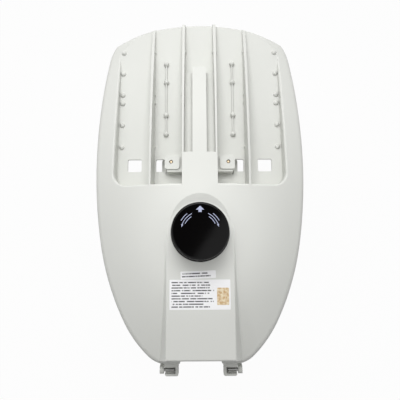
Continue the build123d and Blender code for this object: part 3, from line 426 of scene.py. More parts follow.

# %% [markdown]
# ## Powder coat
# The castings wear a fine-textured powder coat in a pale warm grey. Powder leaves an orange peel of
# about a millimetre and rounds every edge. Creases and deep pockets get painted shade, and the
# edges get a paler painted highlight. A Bevel node rounds the edges for the light, where real
# fillets on every small edge would take far more faces, and the two groups find the creases and the
# edges.


# %% Wiring a finish
def relief(parts, links, height, depth, edge_round=0.0):
    """A bump from a height socket, over edges rounded for the light."""
    bump = parts.new("ShaderNodeBump")
    bump.inputs["Distance"].default_value = depth
    links.new(height, bump.inputs["Height"])
    if edge_round:
        bevel = parts.new("ShaderNodeBevel")
        bevel.samples = EDGE_SAMPLES
        bevel.inputs["Radius"].default_value = edge_round
        links.new(bevel.outputs["Normal"], bump.inputs["Normal"])
    return bump.outputs["Normal"]


def dress(links, shader, colour, rough, normal):
    """Wire a finish's colour, roughness and normal to its shader."""
    for title, socket in (("Base Color", colour), ("Roughness", rough), ("Normal", normal)):
        links.new(socket, shader.inputs[title])


print("helpers", relief.__name__, dress.__name__)

# %% Powder coat material
COAT_COLOUR = (0.690, 0.697, 0.664)
COAT_SHADE = (0.660, 0.667, 0.634)
# colour of the painted shade in creases and pockets
COAT_PAINTED_SHADE = (0.16, 0.155, 0.14)
# colour of the painted highlight on edges
COAT_PAINTED_HIGHLIGHT = (0.80, 0.805, 0.78)
COAT_ROUGH = (0.42, 0.58)
COAT_GLOSS = 0.4
PEEL_SCALE = 850.0
PEEL_DEPTH = 0.00009
COAT_DRIFT_SCALE = 9.0
COAT_EDGE_ROUND = 0.0006
# painted shade: a small reach for creases, a large one for deep pockets
PAINTED_SHADE_PLACES = ((0.0045, 0.28, 0.95), (0.03, 0.74, 0.98))  # reach, where it starts, where it is full
PAINTED_SHADE_MOST = 0.8
# painted highlight on edges: its reach and strongest share
HIGHLIGHT_REACH = 0.0012
HIGHLIGHT_MOST = 0.7


def powder_coat(name):
    """Pale warm grey coat with orange peel, slow drift, painted shade in creases, painted highlight
    on edges.
    """
    material, parts, links, shader = new_material(name)
    grain = place_group(parts, SKIN_GRAIN, Grain_Scale=PEEL_SCALE, Drift_Scale=COAT_DRIFT_SCALE)
    peel = grain.outputs["Height"]
    tone = between(parts, links, grain.outputs["Drift"], COAT_SHADE, COAT_COLOUR)
    # painted shade: creases and deep pockets are darkened in the colour
    for reach, start, full in PAINTED_SHADE_PLACES:
        corner = place_group(parts, CORNER_SHADE, Reach=reach)
        depth = value_range(parts, links, corner.outputs["Depth"], 0.0, PAINTED_SHADE_MOST, start, full)
        tone = between(parts, links, depth, tone, COAT_PAINTED_SHADE)
    # painted highlight: hard edges are made paler in the colour
    edge = place_group(parts, PAINTED_EDGE_HIGHLIGHT, Reach=HIGHLIGHT_REACH)
    highlight_share = value_range(parts, links, edge.outputs["Edge"], 0.0, HIGHLIGHT_MOST)
    tone = between(parts, links, highlight_share, tone, COAT_PAINTED_HIGHLIGHT)
    rough = value_range(parts, links, peel, *COAT_ROUGH)
    dress(links, shader, tone, rough, relief(parts, links, peel, PEEL_DEPTH, COAT_EDGE_ROUND))
    shader.inputs["Specular IOR Level"].default_value = COAT_GLOSS
    return material


FINISHES = {
    "housing_coat": powder_coat("housing_coat_finish"),
    "door_coat": powder_coat("door_coat_finish"),
}
print("coats on", sorted(FINISHES))

# %% [markdown]
# ## Metals
# Hinge pins and contacts are bare metal, and the screws are zinc-plated. All of them show a faint
# rubbed grain. One function with a dark tone, a light tone and a roughness covers them, since only
# those three differ.

# %% Metal finishes
METAL_LINES = 900.0
METAL_STRETCH = 10.0
METAL_SMOOTHER = 0.08
METAL_ROUGHER = 0.12
METAL_LINE_DEPTH = 0.00003
METAL_EDGE_ROUND = 0.0003


def metal(name, dark, light, rough):
    """Bare or plated metal with rubbed lines in its tone and gloss."""
    material, parts, links, shader = new_material(name)
    rubbing = place_group(parts, RUBBED_LINES, Line_Scale=METAL_LINES, Stretch=METAL_STRETCH)
    lines = rubbing.outputs["Lines"]
    tone = between(parts, links, lines, dark, light)
    dull = value_range(parts, links, lines, rough - METAL_SMOOTHER, rough + METAL_ROUGHER)
    normal = relief(parts, links, lines, METAL_LINE_DEPTH, METAL_EDGE_ROUND)
    dress(links, shader, tone, dull, normal)
    shader.inputs["Metallic"].default_value = 1.0
    return material


FINISHES["steel"] = metal("steel_finish", (0.24, 0.24, 0.236), (0.38, 0.38, 0.37), 0.38)
FINISHES["zinc_steel"] = metal("zinc_finish", (0.42, 0.43, 0.45), (0.60, 0.61, 0.63), 0.36)
FINISHES["brass"] = metal("brass_finish", (0.42, 0.33, 0.22), (0.56, 0.46, 0.33), 0.45)
print("metals", [FINISHES[slot].name for slot in ("steel", "zinc_steel", "brass")])

# %% [markdown]
# ## Rubber and matt plastic
# Seals are rubber with a dull chalky skin, and the socket, the terminal block and the driver's case
# are plastic with a fine moulded grain. They differ in tone, roughness and grain, so one function
# makes them all from a table.

# %% Moulded finishes
SKIN_DRIFT_SCALE = 25.0
SKIN_SMOOTHER = 0.06
SKIN_ROUGHER = 0.08
SKIN_EDGE_ROUND = 0.0006
MOULDINGS = {  # slot: name, dark tone, light tone, roughness, grain depth, grain scale
    "seal_rubber": ("rubber", (0.020, 0.020, 0.021), (0.034, 0.034, 0.035), 0.75, 6e-5, 1200.0),
    "lens_seal": ("silicone", (0.50, 0.50, 0.49), (0.60, 0.60, 0.58), 0.6, 4e-5, 900.0),
    "socket_plastic": ("socket", (0.014, 0.014, 0.016), (0.024, 0.024, 0.026), 0.5, 5e-5, 1400.0),
    "driver_case": ("driver", (0.075, 0.078, 0.082), (0.098, 0.10, 0.106), 0.45, 6e-5, 700.0),
    "terminal_plastic": (
        "terminal", (0.016, 0.016, 0.017), (0.028, 0.028, 0.03), 0.5, 5e-5, 1100.0
    ),
}


def moulded(name, dark, light, rough, depth, grain_scale, edge_round=SKIN_EDGE_ROUND):
    """Rubber or plastic with a fine moulded skin."""
    material, parts, links, shader = new_material(name)
    grain = place_group(parts, SKIN_GRAIN, Grain_Scale=grain_scale, Drift_Scale=SKIN_DRIFT_SCALE)
    skin = grain.outputs["Height"]
    tone = between(parts, links, grain.outputs["Drift"], dark, light)
    dull = value_range(parts, links, skin, rough - SKIN_SMOOTHER, rough + SKIN_ROUGHER)
    dress(links, shader, tone, dull, relief(parts, links, skin, depth, edge_round))
    return material


for slot, (title, *skin) in MOULDINGS.items():
    FINISHES[slot] = moulded(f"{title}_finish", *skin)
print("mouldings", sorted(MOULDINGS))

# %% [markdown]
# ## Gloss black cap
# The cap is polished black plastic. Its colour is nearly nothing, so what shows is the gloss,
# broken by very fine lines in the roughness. Its edges get a painted highlight, a little paler, as
# on the castings.

# %% Cap plastic
CAP_BLACK = (0.0022, 0.0020, 0.0021)
# colour of the painted highlight on the cap's edges
CAP_PAINTED_HIGHLIGHT = (0.055, 0.055, 0.058)
CAP_ROUGH = (0.05, 0.13)
CAP_GLOSS = 0.17
CAP_LINES = 400.0
CAP_STRETCH = 25.0
CAP_WAVE_SCALE = 120.0
CAP_WAVE_DEPTH = 0.00001
CAP_HIGHLIGHT_REACH = 0.0011
CAP_EDGE_ROUND = 0.0006


def gloss_plastic(name):
    """Polished black plastic with hairlines that only show in the gloss, and a painted highlight on
    its edges.
    """
    material, parts, links, shader = new_material(name)
    rubbing = place_group(parts, RUBBED_LINES, Line_Scale=CAP_LINES, Stretch=CAP_STRETCH)
    wave = place_group(parts, SKIN_GRAIN, Grain_Scale=CAP_WAVE_SCALE)
    # painted highlight: the cap's edges are made paler in its colour
    edge = place_group(parts, PAINTED_EDGE_HIGHLIGHT, Reach=CAP_HIGHLIGHT_REACH)
    tone = between(parts, links, edge.outputs["Edge"], CAP_BLACK, CAP_PAINTED_HIGHLIGHT)
    rough = value_range(parts, links, rubbing.outputs["Lines"], *CAP_ROUGH)
    normal = relief(parts, links, wave.outputs["Height"], CAP_WAVE_DEPTH, CAP_EDGE_ROUND)
    dress(links, shader, tone, rough, normal)
    shader.inputs["Specular IOR Level"].default_value = CAP_GLOSS
    return material


FINISHES["cap_plastic"] = gloss_plastic("cap_finish")
print("gloss", FINISHES["cap_plastic"].name)

# %% [markdown]
# ## Clear acrylic
# The optics are clear moulded acrylic. It is real transmission with a trace of waviness, so the
# LEDs behind it shift as the view moves, which a see-through mix wouldn't do.

# %% Acrylic
ACRYLIC_TINT = (0.95, 0.97, 0.98, 1.0)
ACRYLIC_IOR = 1.49
ACRYLIC_ROUGH = (0.02, 0.08)
ACRYLIC_WAVE_SCALE = 60.0
ACRYLIC_DRIFT_SCALE = 20.0
ACRYLIC_WAVE_DEPTH = 0.00004


def clear_acrylic(name):
    """Clear moulded acrylic."""
    material, parts, links, shader = new_material(name)
    wave = place_group(
        parts, SKIN_GRAIN, Grain_Scale=ACRYLIC_WAVE_SCALE, Drift_Scale=ACRYLIC_DRIFT_SCALE
    )
    rough = value_range(parts, links, wave.outputs["Drift"], *ACRYLIC_ROUGH)
    links.new(rough, shader.inputs["Roughness"])
    normal = relief(parts, links, wave.outputs["Height"], ACRYLIC_WAVE_DEPTH)
    links.new(normal, shader.inputs["Normal"])
    shader.inputs["Base Color"].default_value = ACRYLIC_TINT
    shader.inputs["Transmission Weight"].default_value = 1.0
    shader.inputs["IOR"].default_value = ACRYLIC_IOR
    return material


FINISHES["lens"] = clear_acrylic("acrylic_finish")
print("clear", FINISHES["lens"].name)

# %% [markdown]
# ## LED boards
# Behind the optics sit white boards. Their solder mask shows the copper tracks below as slightly
# raised, slightly greyer bands, which a brick pattern in board coordinates gives without any
# picture. The LEDs' phosphor is a yellow fill, a little uneven.

# %% Board
MASK_WHITE = (0.80, 0.81, 0.80)
TRACK_TONE = (0.72, 0.74, 0.72)
TRACK_SCALE = 28.0
TRACK_WIDTH = 0.03
TRACK_SOFTNESS = 0.3
TRACK_DEPTH = 0.00005
MASK_ROUGH = (0.30, 0.45)
MASK_GRAIN = 1500.0


def solder_mask(name):
    """White board with tracks under its mask."""
    material, parts, links, shader = new_material(name)
    place = parts.new("ShaderNodeTexCoord")
    tracks = parts.new("ShaderNodeTexBrick")
    tracks.offset = 0.0
    tracks.inputs["Scale"].default_value = TRACK_SCALE
    tracks.inputs["Mortar Size"].default_value = TRACK_WIDTH
    tracks.inputs["Mortar Smooth"].default_value = TRACK_SOFTNESS
    links.new(place.outputs["Object"], tracks.inputs["Vector"])
    track = tracks.outputs["Fac"]
    grain = place_group(parts, SKIN_GRAIN, Grain_Scale=MASK_GRAIN)
    tone = between(parts, links, track, MASK_WHITE, TRACK_TONE)
    rough = value_range(parts, links, grain.outputs["Height"], *MASK_ROUGH)
    dress(links, shader, tone, rough, relief(parts, links, track, TRACK_DEPTH))
    return material


FINISHES["led_board"] = solder_mask("board_finish")
print("board", FINISHES["led_board"].name)

# %% Phosphor
PHOSPHOR_DARK = (0.80, 0.50, 0.04)
PHOSPHOR_LIGHT = (0.92, 0.68, 0.12)
PHOSPHOR_ROUGH = (0.25, 0.4)
PHOSPHOR_DEPTH = 0.00002
PHOSPHOR_GRAIN = 2500.0
PHOSPHOR_DRIFT = 900.0


def phosphor(name):
    """Yellow phosphor with a slightly uneven fill."""
    material, parts, links, shader = new_material(name)
    grain = place_group(parts, SKIN_GRAIN, Grain_Scale=PHOSPHOR_GRAIN, Drift_Scale=PHOSPHOR_DRIFT)
    fill = grain.outputs["Height"]
    tone = between(parts, links, grain.outputs["Drift"], PHOSPHOR_DARK, PHOSPHOR_LIGHT)
    rough = value_range(parts, links, fill, *PHOSPHOR_ROUGH)
    dress(links, shader, tone, rough, relief(parts, links, fill, PHOSPHOR_DEPTH))
    return material


FINISHES["led_package"] = phosphor("phosphor_finish")
print("phosphor", FINISHES["led_package"].name)

# %% [markdown]
# ## Finishes on the model
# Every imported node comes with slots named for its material. Swapping the material of each slot
# dresses the castings without touching their meshes.

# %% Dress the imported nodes
for node in nodes.values():
    for slot in node.material_slots:
        slot.material = FINISHES[slot.material.name]
print("finishes", len(FINISHES), "on", len(nodes), "nodes")

# %% [markdown]
# ## Places taken from the model
# Screws and LEDs repeat many times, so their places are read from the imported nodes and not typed
# again. Points of one piece lie close together, so a simple walk that starts a new group whenever
# a point is far from all known groups finds every copy.

# %% Reading places
LED_REACH = 0.006
SCREW_REACH = 0.010


def copies(node, reach):
    """Lowest and highest corners of a node's separate copies, found by nearness in plan."""
    points = [vertex.co for vertex in nodes[node].data.vertices]
    groups = []
    for point in sorted(points, key=lambda co: (co.x, co.y, co.z)):
        for group in groups:
            if (group[0].xy - point.xy).length < reach:
                group.append(point)
                break
        else:
            groups.append([point])
    boxes = []
    for group in groups:
        low = Vector([min(point[axis] for point in group) for axis in range(3)])
        high = Vector([max(point[axis] for point in group) for axis in range(3)])
        boxes.append((low, high))
    return boxes


led_boxes = copies("led_chips", LED_REACH)
print("LEDs", len(led_boxes), "lens screws", len(copies("lens_screws", SCREW_REACH)))

# %% [markdown]
# ## Turned pieces
# A screw is a stack of rings round an axis. A Boolean could cut the recess into a cylinder, but it
# leaves untidy faces. Here most rings are circles, and the rings of the recess are hexagons or six
# soft lobes with the same number of points, so one bridging loop joins them all and the recess is
# real geometry.

# %% Ring builder
RING_POINTS = 36
LOBES = 6
LOBE_DEPTH = 0.16
RING_SIDES = {"hex": 6, "square": 4}


def ring_radius(kind, angle):
    """Radius of a unit ring in one direction."""
    if kind == "lobes":
        return 1.0 + LOBE_DEPTH * math.cos(LOBES * angle)
    if kind not in RING_SIDES:
        return 1.0
    step = 2 * math.pi / RING_SIDES[kind]
    return 1.0 / math.cos((angle + step / 2) % step - step / 2)


def turned(mesh, centre, rings, finish=0):
    """Add a closed stack of rings, each a kind, a size and a height, round an upright axis."""
    loops = []
    for kind, size, height in rings:
        loop = []
        for step in range(RING_POINTS):
            angle = 2 * math.pi * step / RING_POINTS
            reach = size * ring_radius(kind, angle)
            x = centre.x + reach * math.cos(angle)
            y = centre.y + reach * math.sin(angle)
            loop.append(mesh.verts.new((x, y, height)))
        loops.append(loop)
    faces = [mesh.faces.new(loops[0]), mesh.faces.new(loops[-1])]
    for lower, upper in zip(loops, loops[1:]):
        for step in range(RING_POINTS):
            after = (step + 1) % RING_POINTS
            corners = (lower[step], lower[after], upper[after], upper[step])
            faces.append(mesh.faces.new(corners))
    for face in faces:
        face.material_index = finish


print("a hexagon reaches", round(ring_radius("hex", math.pi / 6), 3), "at its corners")

# %% Adding a piece
SHARP_ANGLE = math.radians(32)


def add_piece(name, mesh, body, slot, *materials):
    """Make an object of a mesh, dress it and let it ride on a body."""
    bmesh.ops.recalc_face_normals(mesh, faces=mesh.faces)
    data = bpy.data.meshes.new(name)
    mesh.to_mesh(data)
    mesh.free()
    data.polygons.foreach_set("use_smooth", [True] * len(data.polygons))
    data.set_sharp_from_angle(angle=SHARP_ANGLE)
    piece = bpy.data.objects.new(name, data)
    scene.collection.objects.link(piece)
    for material in materials:
        data.materials.append(material)
    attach(piece, body)
    print(name, len(data.polygons), "faces on", body)
    return piece


print("edges over", round(math.degrees(SHARP_ANGLE)), "degrees stay sharp")

# %% [markdown]
# ## Pan-head screws
# All the small screws are driven up from below, so their heads face down. The head is a low dome
# with a six-lobe recess. Each group of screws is one mesh, not a row of linked copies, because it
# replaces the plain cylinders of one node.

# %% Pan-head screws
PAN_HEADS = {
    "lens_screws": (0.0022, "zinc_steel"),
    "driver_screws": (0.0026, "zinc_steel"),
    "surge_screws": (0.0026, "zinc_steel"),
    "terminal_screws": (0.0026, "zinc_steel"),
    "earth_screw": (0.0026, "brass"),
    "wireway_cover_screws": (0.0026, "zinc_steel"),
}
PAN_PROFILE = (  # kind, share of the head's radius, share of its height
    ("lobes", 0.40, 0.65),
    ("lobes", 0.46, 0.04),
    ("round", 0.62, 0.0),
    ("round", 0.84, 0.14),
    ("round", 0.97, 0.45),
    ("round", 1.0, 0.75),
    ("round", 1.0, 1.0),
)
SHANK_SHARE = 0.52
TIP_SHARE = 0.6
TIP_LENGTH = 0.25


def pan_rings(low, high, head, radius):
    """Rings of a pan head that faces down, from its recess to the tip of its shank."""
    shank = SHANK_SHARE * radius
    rings = [(kind, share * radius, low + rise * head) for kind, share, rise in PAN_PROFILE]
    rings.append(("round", shank, low + head))
    rings.append(("round", shank, high - TIP_LENGTH * head))
    rings.append(("round", TIP_SHARE * shank, high))
    return rings


for node, (head, slot) in PAN_HEADS.items():
    mesh = bmesh.new()
    for low, high in copies(node, SCREW_REACH):
        radius = (high.x - low.x) / 2
        turned(mesh, (low + high) / 2, pan_rings(low.z, high.z, head, radius))
    piece = add_piece(f"{node}_turned", mesh, "housing", slot, FINISHES[slot])
    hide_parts(node)

# %% [markdown]
# ## Door screws
# Two captive socket screws hold the door. Their heads sit under the door's tabs, and their yellow
# ends show in the pads of the tray, as two small warm dots in the photograph. Each backs out by
# itself, so each is a piece that rides on a body of its own.

# %% Door screws
SOCKET_HEAD = 0.005
SOCKET_SHANK = 0.0025
SOCKET_BREAK = 0.0003
SOCKET_TIP = 0.0008
RECESS_DEPTH = 0.6  # share of the head's height
RECESS_SHARE, MOUTH_SHARE = 0.42, 0.46  # shares of the head's radius
FACE_SHARE, UNDER_SHARE = 0.86, 0.96
END_SHARE = 0.7  # share of the shank's radius


def socket_rings(low, high, radius):
    """Rings of a socket-head screw that faces down."""
    seat = low + SOCKET_HEAD
    return [
        ("hex", RECESS_SHARE * radius, low + RECESS_DEPTH * SOCKET_HEAD),
        ("hex", RECESS_SHARE * radius, low + SOCKET_BREAK),
        ("hex", MOUTH_SHARE * radius, low),
        ("round", FACE_SHARE * radius, low),
        ("round", radius, low + (1.0 - FACE_SHARE) * radius),
        ("round", radius, seat - SOCKET_BREAK),
        ("round", UNDER_SHARE * radius, seat),
        ("round", SOCKET_SHANK, seat),
        ("round", SOCKET_SHANK, high - SOCKET_TIP),
        ("round", END_SHARE * SOCKET_SHANK, high),
    ]


for hand in ("left", "right"):
    node = f"door_screw_{hand}"
    low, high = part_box(node)
    mesh = bmesh.new()
    turned(mesh, (low + high) / 2, socket_rings(low.z, high.z, (high.x - low.x) / 2))
    piece = add_piece(f"{node}_turned", mesh, node, "brass", FINISHES["brass"])
    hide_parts(node)

# %% [markdown]
# ## LEDs
# Each LED is a white ceramic base with a yellow dome. Cubes and half spheres would do, but the ring
# builder is at hand: the base is a stack of square rings and the dome a stack of round ones, in one
# piece with two finishes.

# %% LED packages
LED_BASE = (("square", 1.0, 0.0), ("square", 1.0, 0.5), ("square", 0.94, 0.56))
LED_DOME = (
    ("round", 0.80, 0.52),
    ("round", 0.78, 0.72),
    ("round", 0.60, 0.90),
    ("round", 0.30, 1.0),
)
CERAMIC = ((0.72, 0.72, 0.70), (0.80, 0.80, 0.78), 0.4, 0.00002, 3000.0, 0.0)

ceramic = moulded("ceramic_finish", *CERAMIC)
mesh = bmesh.new()
for low, high in led_boxes:
    half = (high.x - low.x) / 2
    tall = high.z - low.z
    for finish, profile in enumerate((LED_BASE, LED_DOME)):
        rings = [(kind, share * half, high.z - drop * tall) for kind, share, drop in profile]
        turned(mesh, (low + high) / 2, rings, finish)
leds = add_piece("led_packages", mesh, "housing", "led_package", ceramic, FINISHES["led_package"])
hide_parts("led_chips")

# %% [markdown]
# ## Moulded optics
# Each module's clear plate swells into one bubble under every LED. A fine grid whose lower side is
# pushed down by a rounded hump per LED gives the smooth pressed look that separate solids can't.
# Clear plastic lets light through to its board, but rendering finds that light only slowly, so the
# plates cast no shadow here.

# %% Bubbles and corners
PLATE_CORNER = 0.008
BUBBLE_HALF = (0.0082, 0.0062)
BUBBLE_SQUARE = 2.4
BUBBLE_FULL = 0.6


def bubble(dx, dy):
    """Share of a bubble's height at a distance from its LED."""
    across = (abs(dx) / BUBBLE_HALF[0]) ** BUBBLE_SQUARE
    along = (abs(dy) / BUBBLE_HALF[1]) ** BUBBLE_SQUARE
    return max(0.0, 1.0 - (across + along)) ** BUBBLE_FULL


def round_corner(x, y, half_x, half_y):
    """A point of a rectangle moved inside its rounded corner."""
    inner_x, inner_y = half_x - PLATE_CORNER, half_y - PLATE_CORNER
    over = Vector((max(0.0, abs(x) - inner_x), max(0.0, abs(y) - inner_y)))
    if over.x and over.y and over.length > PLATE_CORNER:
        over = over.normalized() * PLATE_CORNER
        x = math.copysign(inner_x + over.x, x)
        y = math.copysign(inner_y + over.y, y)
    return x, y


print("a bubble halfway out has", round(bubble(BUBBLE_HALF[0] / 2, 0.0), 2), "of its height")

# %% Optics grid
GRID_STEP = 0.00125
PLATE_THICK = 0.003
RIM_SOFT = 0.0007


def optics(node):
    """A clear plate with bubbles, in the place of a lens node."""
    low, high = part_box(node)
    middle = (low + high) / 2
    half_x, half_y = (high.x - low.x) / 2, (high.y - low.y) / 2
    under = high.z - PLATE_THICK
    tall = under - low.z
    spots = [(corner + other) / 2 for corner, other in led_boxes]
    own = [spot for spot in spots if low.x < spot.x < high.x and low.y < spot.y < high.y]
    columns, rows = round(2 * half_x / GRID_STEP), round(2 * half_y / GRID_STEP)
    mesh = bmesh.new()
    grid = []
    for row in range(rows + 1):
        line = []
        for column in range(columns + 1):
            flat_x = 2 * half_x * column / columns - half_x
            flat_y = 2 * half_y * row / rows - half_y
            x, y = round_corner(flat_x, flat_y, half_x, half_y)
            edge = row in (0, rows) or column in (0, columns)
            swell = max(bubble(middle.x + x - spot.x, middle.y + y - spot.y) for spot in own)
            height = under + RIM_SOFT if edge else under - tall * swell
            line.append(mesh.verts.new((middle.x + x, middle.y + y, height)))
        grid.append(line)
    for lower, upper in zip(grid, grid[1:]):
        for step in range(columns):
            mesh.faces.new((lower[step], lower[step + 1], upper[step + 1], upper[step]))
    border = grid[0] + [line[-1] for line in grid[1:]]
    border += grid[-1][-2::-1] + [line[0] for line in grid[-2:0:-1]]
    rim = [mesh.verts.new((vertex.co.x, vertex.co.y, high.z)) for vertex in border]
    for step, vertex in enumerate(border):
        after = (step + 1) % len(border)
        mesh.faces.new((vertex, border[after], rim[after], rim[step]))
    mesh.faces.new(rim)
    return mesh


for node in sorted(name for name in nodes if name.startswith("lens_plate_")):
    title = node.replace("lens_plate", "optics")
    piece = add_piece(title, optics(node), "housing", "lens", FINISHES["lens"])
    piece.visible_shadow = piece.visible_diffuse = False
    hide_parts(node)

# %% [markdown]
# ## Print on the cap
# The cap carries a plain arrow that points to the street and a set of turn marks on each side. A
# mask in the cap's material could draw them, but flat strips a tenth of a millimetre thick, bent
# round the cap's axis, stay sharp from near and follow the cap as it twists.


# %% Flat slabs
def slab(mesh, outline, low, thick):
    """A flat slab over a closed outline of plan points."""
    bottom = [mesh.verts.new((x, y, low)) for x, y in outline]
    top = [mesh.verts.new((x, y, low + thick)) for x, y in outline]
    mesh.faces.new(bottom)
    mesh.faces.new(top)
    for step in range(len(outline)):
        after = (step + 1) % len(outline)
        mesh.faces.new((bottom[step], bottom[after], top[after], top[step]))


cap_low, cap_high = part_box("cap_shell")
cap_axis = (cap_low + cap_high) / 2
print("cap face at", round(cap_high.z, 4), "round", round(cap_axis.y, 4))

# %% Turn marks
INK_THICK = 0.00012
STROKE = 0.00095
TURN_MARKS = (  # radius, first and last degree, with an arrowhead or not
    (0.0311, 127.0, 152.0, False),
    (0.0274, 115.5, 160.0, True),
    (0.0239, 122.0, 155.0, False),
)
HEAD_LENGTH_DEG = 9.0
HEAD_SPREAD = 1.6
ARC_STEPS = 14


def on_cap(radius, degrees, side):
    """A plan point on the cap's face, mirrored to the right-hand side where side is 1."""
    angle = math.radians(degrees)
    return cap_axis.x - side * radius * math.cos(angle), cap_axis.y + radius * math.sin(angle)


def turn_mark(mesh, radius, start, end, headed, side):
    """A curved stroke, with an arrowhead at its end if it is the long one."""
    angles = [start + (end - start) * step / ARC_STEPS for step in range(ARC_STEPS + 1)]
    outer = [on_cap(radius + STROKE / 2, angle, side) for angle in angles]
    inner = [on_cap(radius - STROKE / 2, angle, side) for angle in reversed(angles)]
    tip = []
    if headed:
        spread = HEAD_SPREAD * STROKE
        tip = [on_cap(radius + spread, end, side), on_cap(radius, end + HEAD_LENGTH_DEG, side)]
        tip.append(on_cap(radius - spread, end, side))
    slab(mesh, outer + tip + inner, cap_high.z, INK_THICK)


cap_ink = bmesh.new()
for side in (-1, 1):
    for mark in TURN_MARKS:
        turn_mark(cap_ink, *mark, side)
print("turn marks", 2 * len(TURN_MARKS))

# %% Arrow and ink
ARROW_TIP = 0.0362
ARROW_HEAD = 0.0057
ARROW_STEM = 0.0034
ARROW_HALF = 0.0060
STEM_HALF = 0.0023
INK = ((0.30, 0.33, 0.46), (0.38, 0.41, 0.56), 0.5, 0.00002, 2500.0, 0.0)

neck = ARROW_TIP - ARROW_HEAD
foot = neck - ARROW_STEM
arrow = [(0.0, ARROW_TIP), (-ARROW_HALF, neck), (-STEM_HALF, neck), (-STEM_HALF, foot)]
arrow += [(-x, y) for x, y in reversed(arrow[1:])]
slab(cap_ink, [(cap_axis.x + x, cap_axis.y + y) for x, y in arrow], cap_high.z, INK_THICK)
add_piece("cap_print", cap_ink, "cap", "cap_plastic", moulded("white_ink", *INK))

# %% [markdown]
# ## Stickers
# Two blank paper stickers and a small foil patch lie on the spine behind the cap. Rows of plain
# grey dashes give the paper a printed tone. An image would do it too, but two numbers per point are
# enough: the row it is in and a random cut along the row. Both papers use the dashes, so they are
# a node group, which takes the printed box, its rows and its tilt.


# %% Where a point lies in the print
def straighten(parts, links, inlet):
    """X and Y of a point, turned back about the middle of the printed box."""
    place = parts.new("ShaderNodeTexCoord")
    middle = parts.new("ShaderNodeCombineXYZ")
    for axis, first, last in (("X", "Left", "Right"), ("Y", "Bottom", "Top")):
        whole = calc(parts, links, "ADD", inlet.outputs[first], inlet.outputs[last])
        links.new(calc(parts, links, "MULTIPLY", whole, 0.5), middle.inputs[axis])
    straight = parts.new("ShaderNodeVectorRotate")
    straight.rotation_type = "Z_AXIS"
    links.new(place.outputs["Object"], straight.inputs["Vector"])
    links.new(middle.outputs[0], straight.inputs["Center"])
    links.new(calc(parts, links, "MULTIPLY", inlet.outputs["Tilt"], -1.0), straight.inputs["Angle"])
    split = parts.new("ShaderNodeSeparateXYZ")
    links.new(straight.outputs["Vector"], split.inputs[0])
    return split.outputs["X"], split.outputs["Y"]


def share_of(parts, links, value, start, end, scale):
    """How far a value lies between two sockets, times a scale that is a socket or a number."""
    span = parts.new("ShaderNodeMapRange")
    links.new(value, span.inputs["Value"])
    links.new(start, span.inputs["From Min"])
    links.new(end, span.inputs["From Max"])
    return calc(parts, links, "MULTIPLY", span.outputs["Result"], scale)


print("helpers", straighten.__name__, share_of.__name__)

# %% Dash rows
DASH_HALF = 0.22
DASH_FIRST = 0.01
DASH_FILL = 0.60
DASH_RAGGED = 0.22
CUTS_ALONG = 26.0
CUTS_PER_ROW = 7.3
DASH_INPUTS = ("Left", "Bottom", "Right", "Top", "Rows", "Reach", "Tilt")


def make_dash_rows():
    """A mask of rows of plain dashes inside a box, each row ending at its own length."""
    group, inlet, outlet = new_group("dash_rows", [(title, 1.0) for title in DASH_INPUTS], ["Ink"])
    parts, links, given = group.nodes, group.links, inlet.outputs
    x, y = straighten(parts, links, inlet)
    row = share_of(parts, links, y, given["Bottom"], given["Top"], given["Rows"])
    along = share_of(parts, links, x, given["Left"], given["Right"], 1.0)
    number = calc(parts, links, "FLOOR", row)
    line = calc(parts, links, "COMPARE", calc(parts, links, "FRACT", row), 0.5, DASH_HALF)
    spot = parts.new("ShaderNodeCombineXYZ")
    links.new(calc(parts, links, "MULTIPLY", along, CUTS_ALONG), spot.inputs["X"])
    links.new(calc(parts, links, "MULTIPLY", number, CUTS_PER_ROW), spot.inputs["Y"])
    cut = parts.new("ShaderNodeTexNoise")
    cut.noise_dimensions = "2D"
    cut.inputs["Scale"].default_value = 1.0
    links.new(spot.outputs[0], cut.inputs["Vector"])
    length = parts.new("ShaderNodeTexWhiteNoise")
    length.noise_dimensions = "1D"
    links.new(number, length.inputs["W"])
    shortest = calc(parts, links, "SUBTRACT", given["Reach"], DASH_RAGGED)
    end = calc(parts, links, "MULTIPLY_ADD", length.outputs["Value"], DASH_RAGGED, shortest)
    ink = calc(parts, links, "LESS_THAN", cut.outputs["Fac"], DASH_FILL)
    for mask in (
        line,
        calc(parts, links, "GREATER_THAN", along, DASH_FIRST),
        calc(parts, links, "LESS_THAN", along, end),
    ):
        ink = calc(parts, links, "MULTIPLY", ink, mask)
    links.new(ink, outlet.inputs["Ink"])
    return group


DASH_ROWS = make_dash_rows()
print("group", DASH_ROWS.name)

# %% Paper and foil
PAPER = (0.90, 0.90, 0.91)
DASH_INK = (0.09, 0.09, 0.10)
PAPER_ROUGH = (0.38, 0.5)
PAPER_GRAIN = 1800.0
FOIL_DARK = (0.56, 0.36, 0.17)
FOIL_LIGHT = (0.82, 0.72, 0.52)
FOIL_CLOUD = (0.38, 0.62)
FOIL_ROUGH = (0.32, 0.46)
FOIL_GRAIN = 1500.0
FOIL_DRIFT = 260.0
SHEET_DEPTH = 0.00001


def printed_paper(name, low, high, margin, **print_values):
    """White paper with rows of plain dashes inside a margin, turned with the sticker."""
    material, parts, links, shader = new_material(name)
    box = {"Left": low[0] + margin, "Bottom": low[1] + margin}
    box.update({"Right": high[0] - margin, "Top": high[1] - margin})
    dashes = place_group(parts, DASH_ROWS, **box, **print_values)
    grain = place_group(parts, SKIN_GRAIN, Grain_Scale=PAPER_GRAIN)
    tone = between(parts, links, dashes.outputs["Ink"], PAPER, DASH_INK)
    rough = value_range(parts, links, grain.outputs["Height"], *PAPER_ROUGH)
    normal = relief(parts, links, grain.outputs["Height"], SHEET_DEPTH)
    dress(links, shader, tone, rough, normal)
    return material


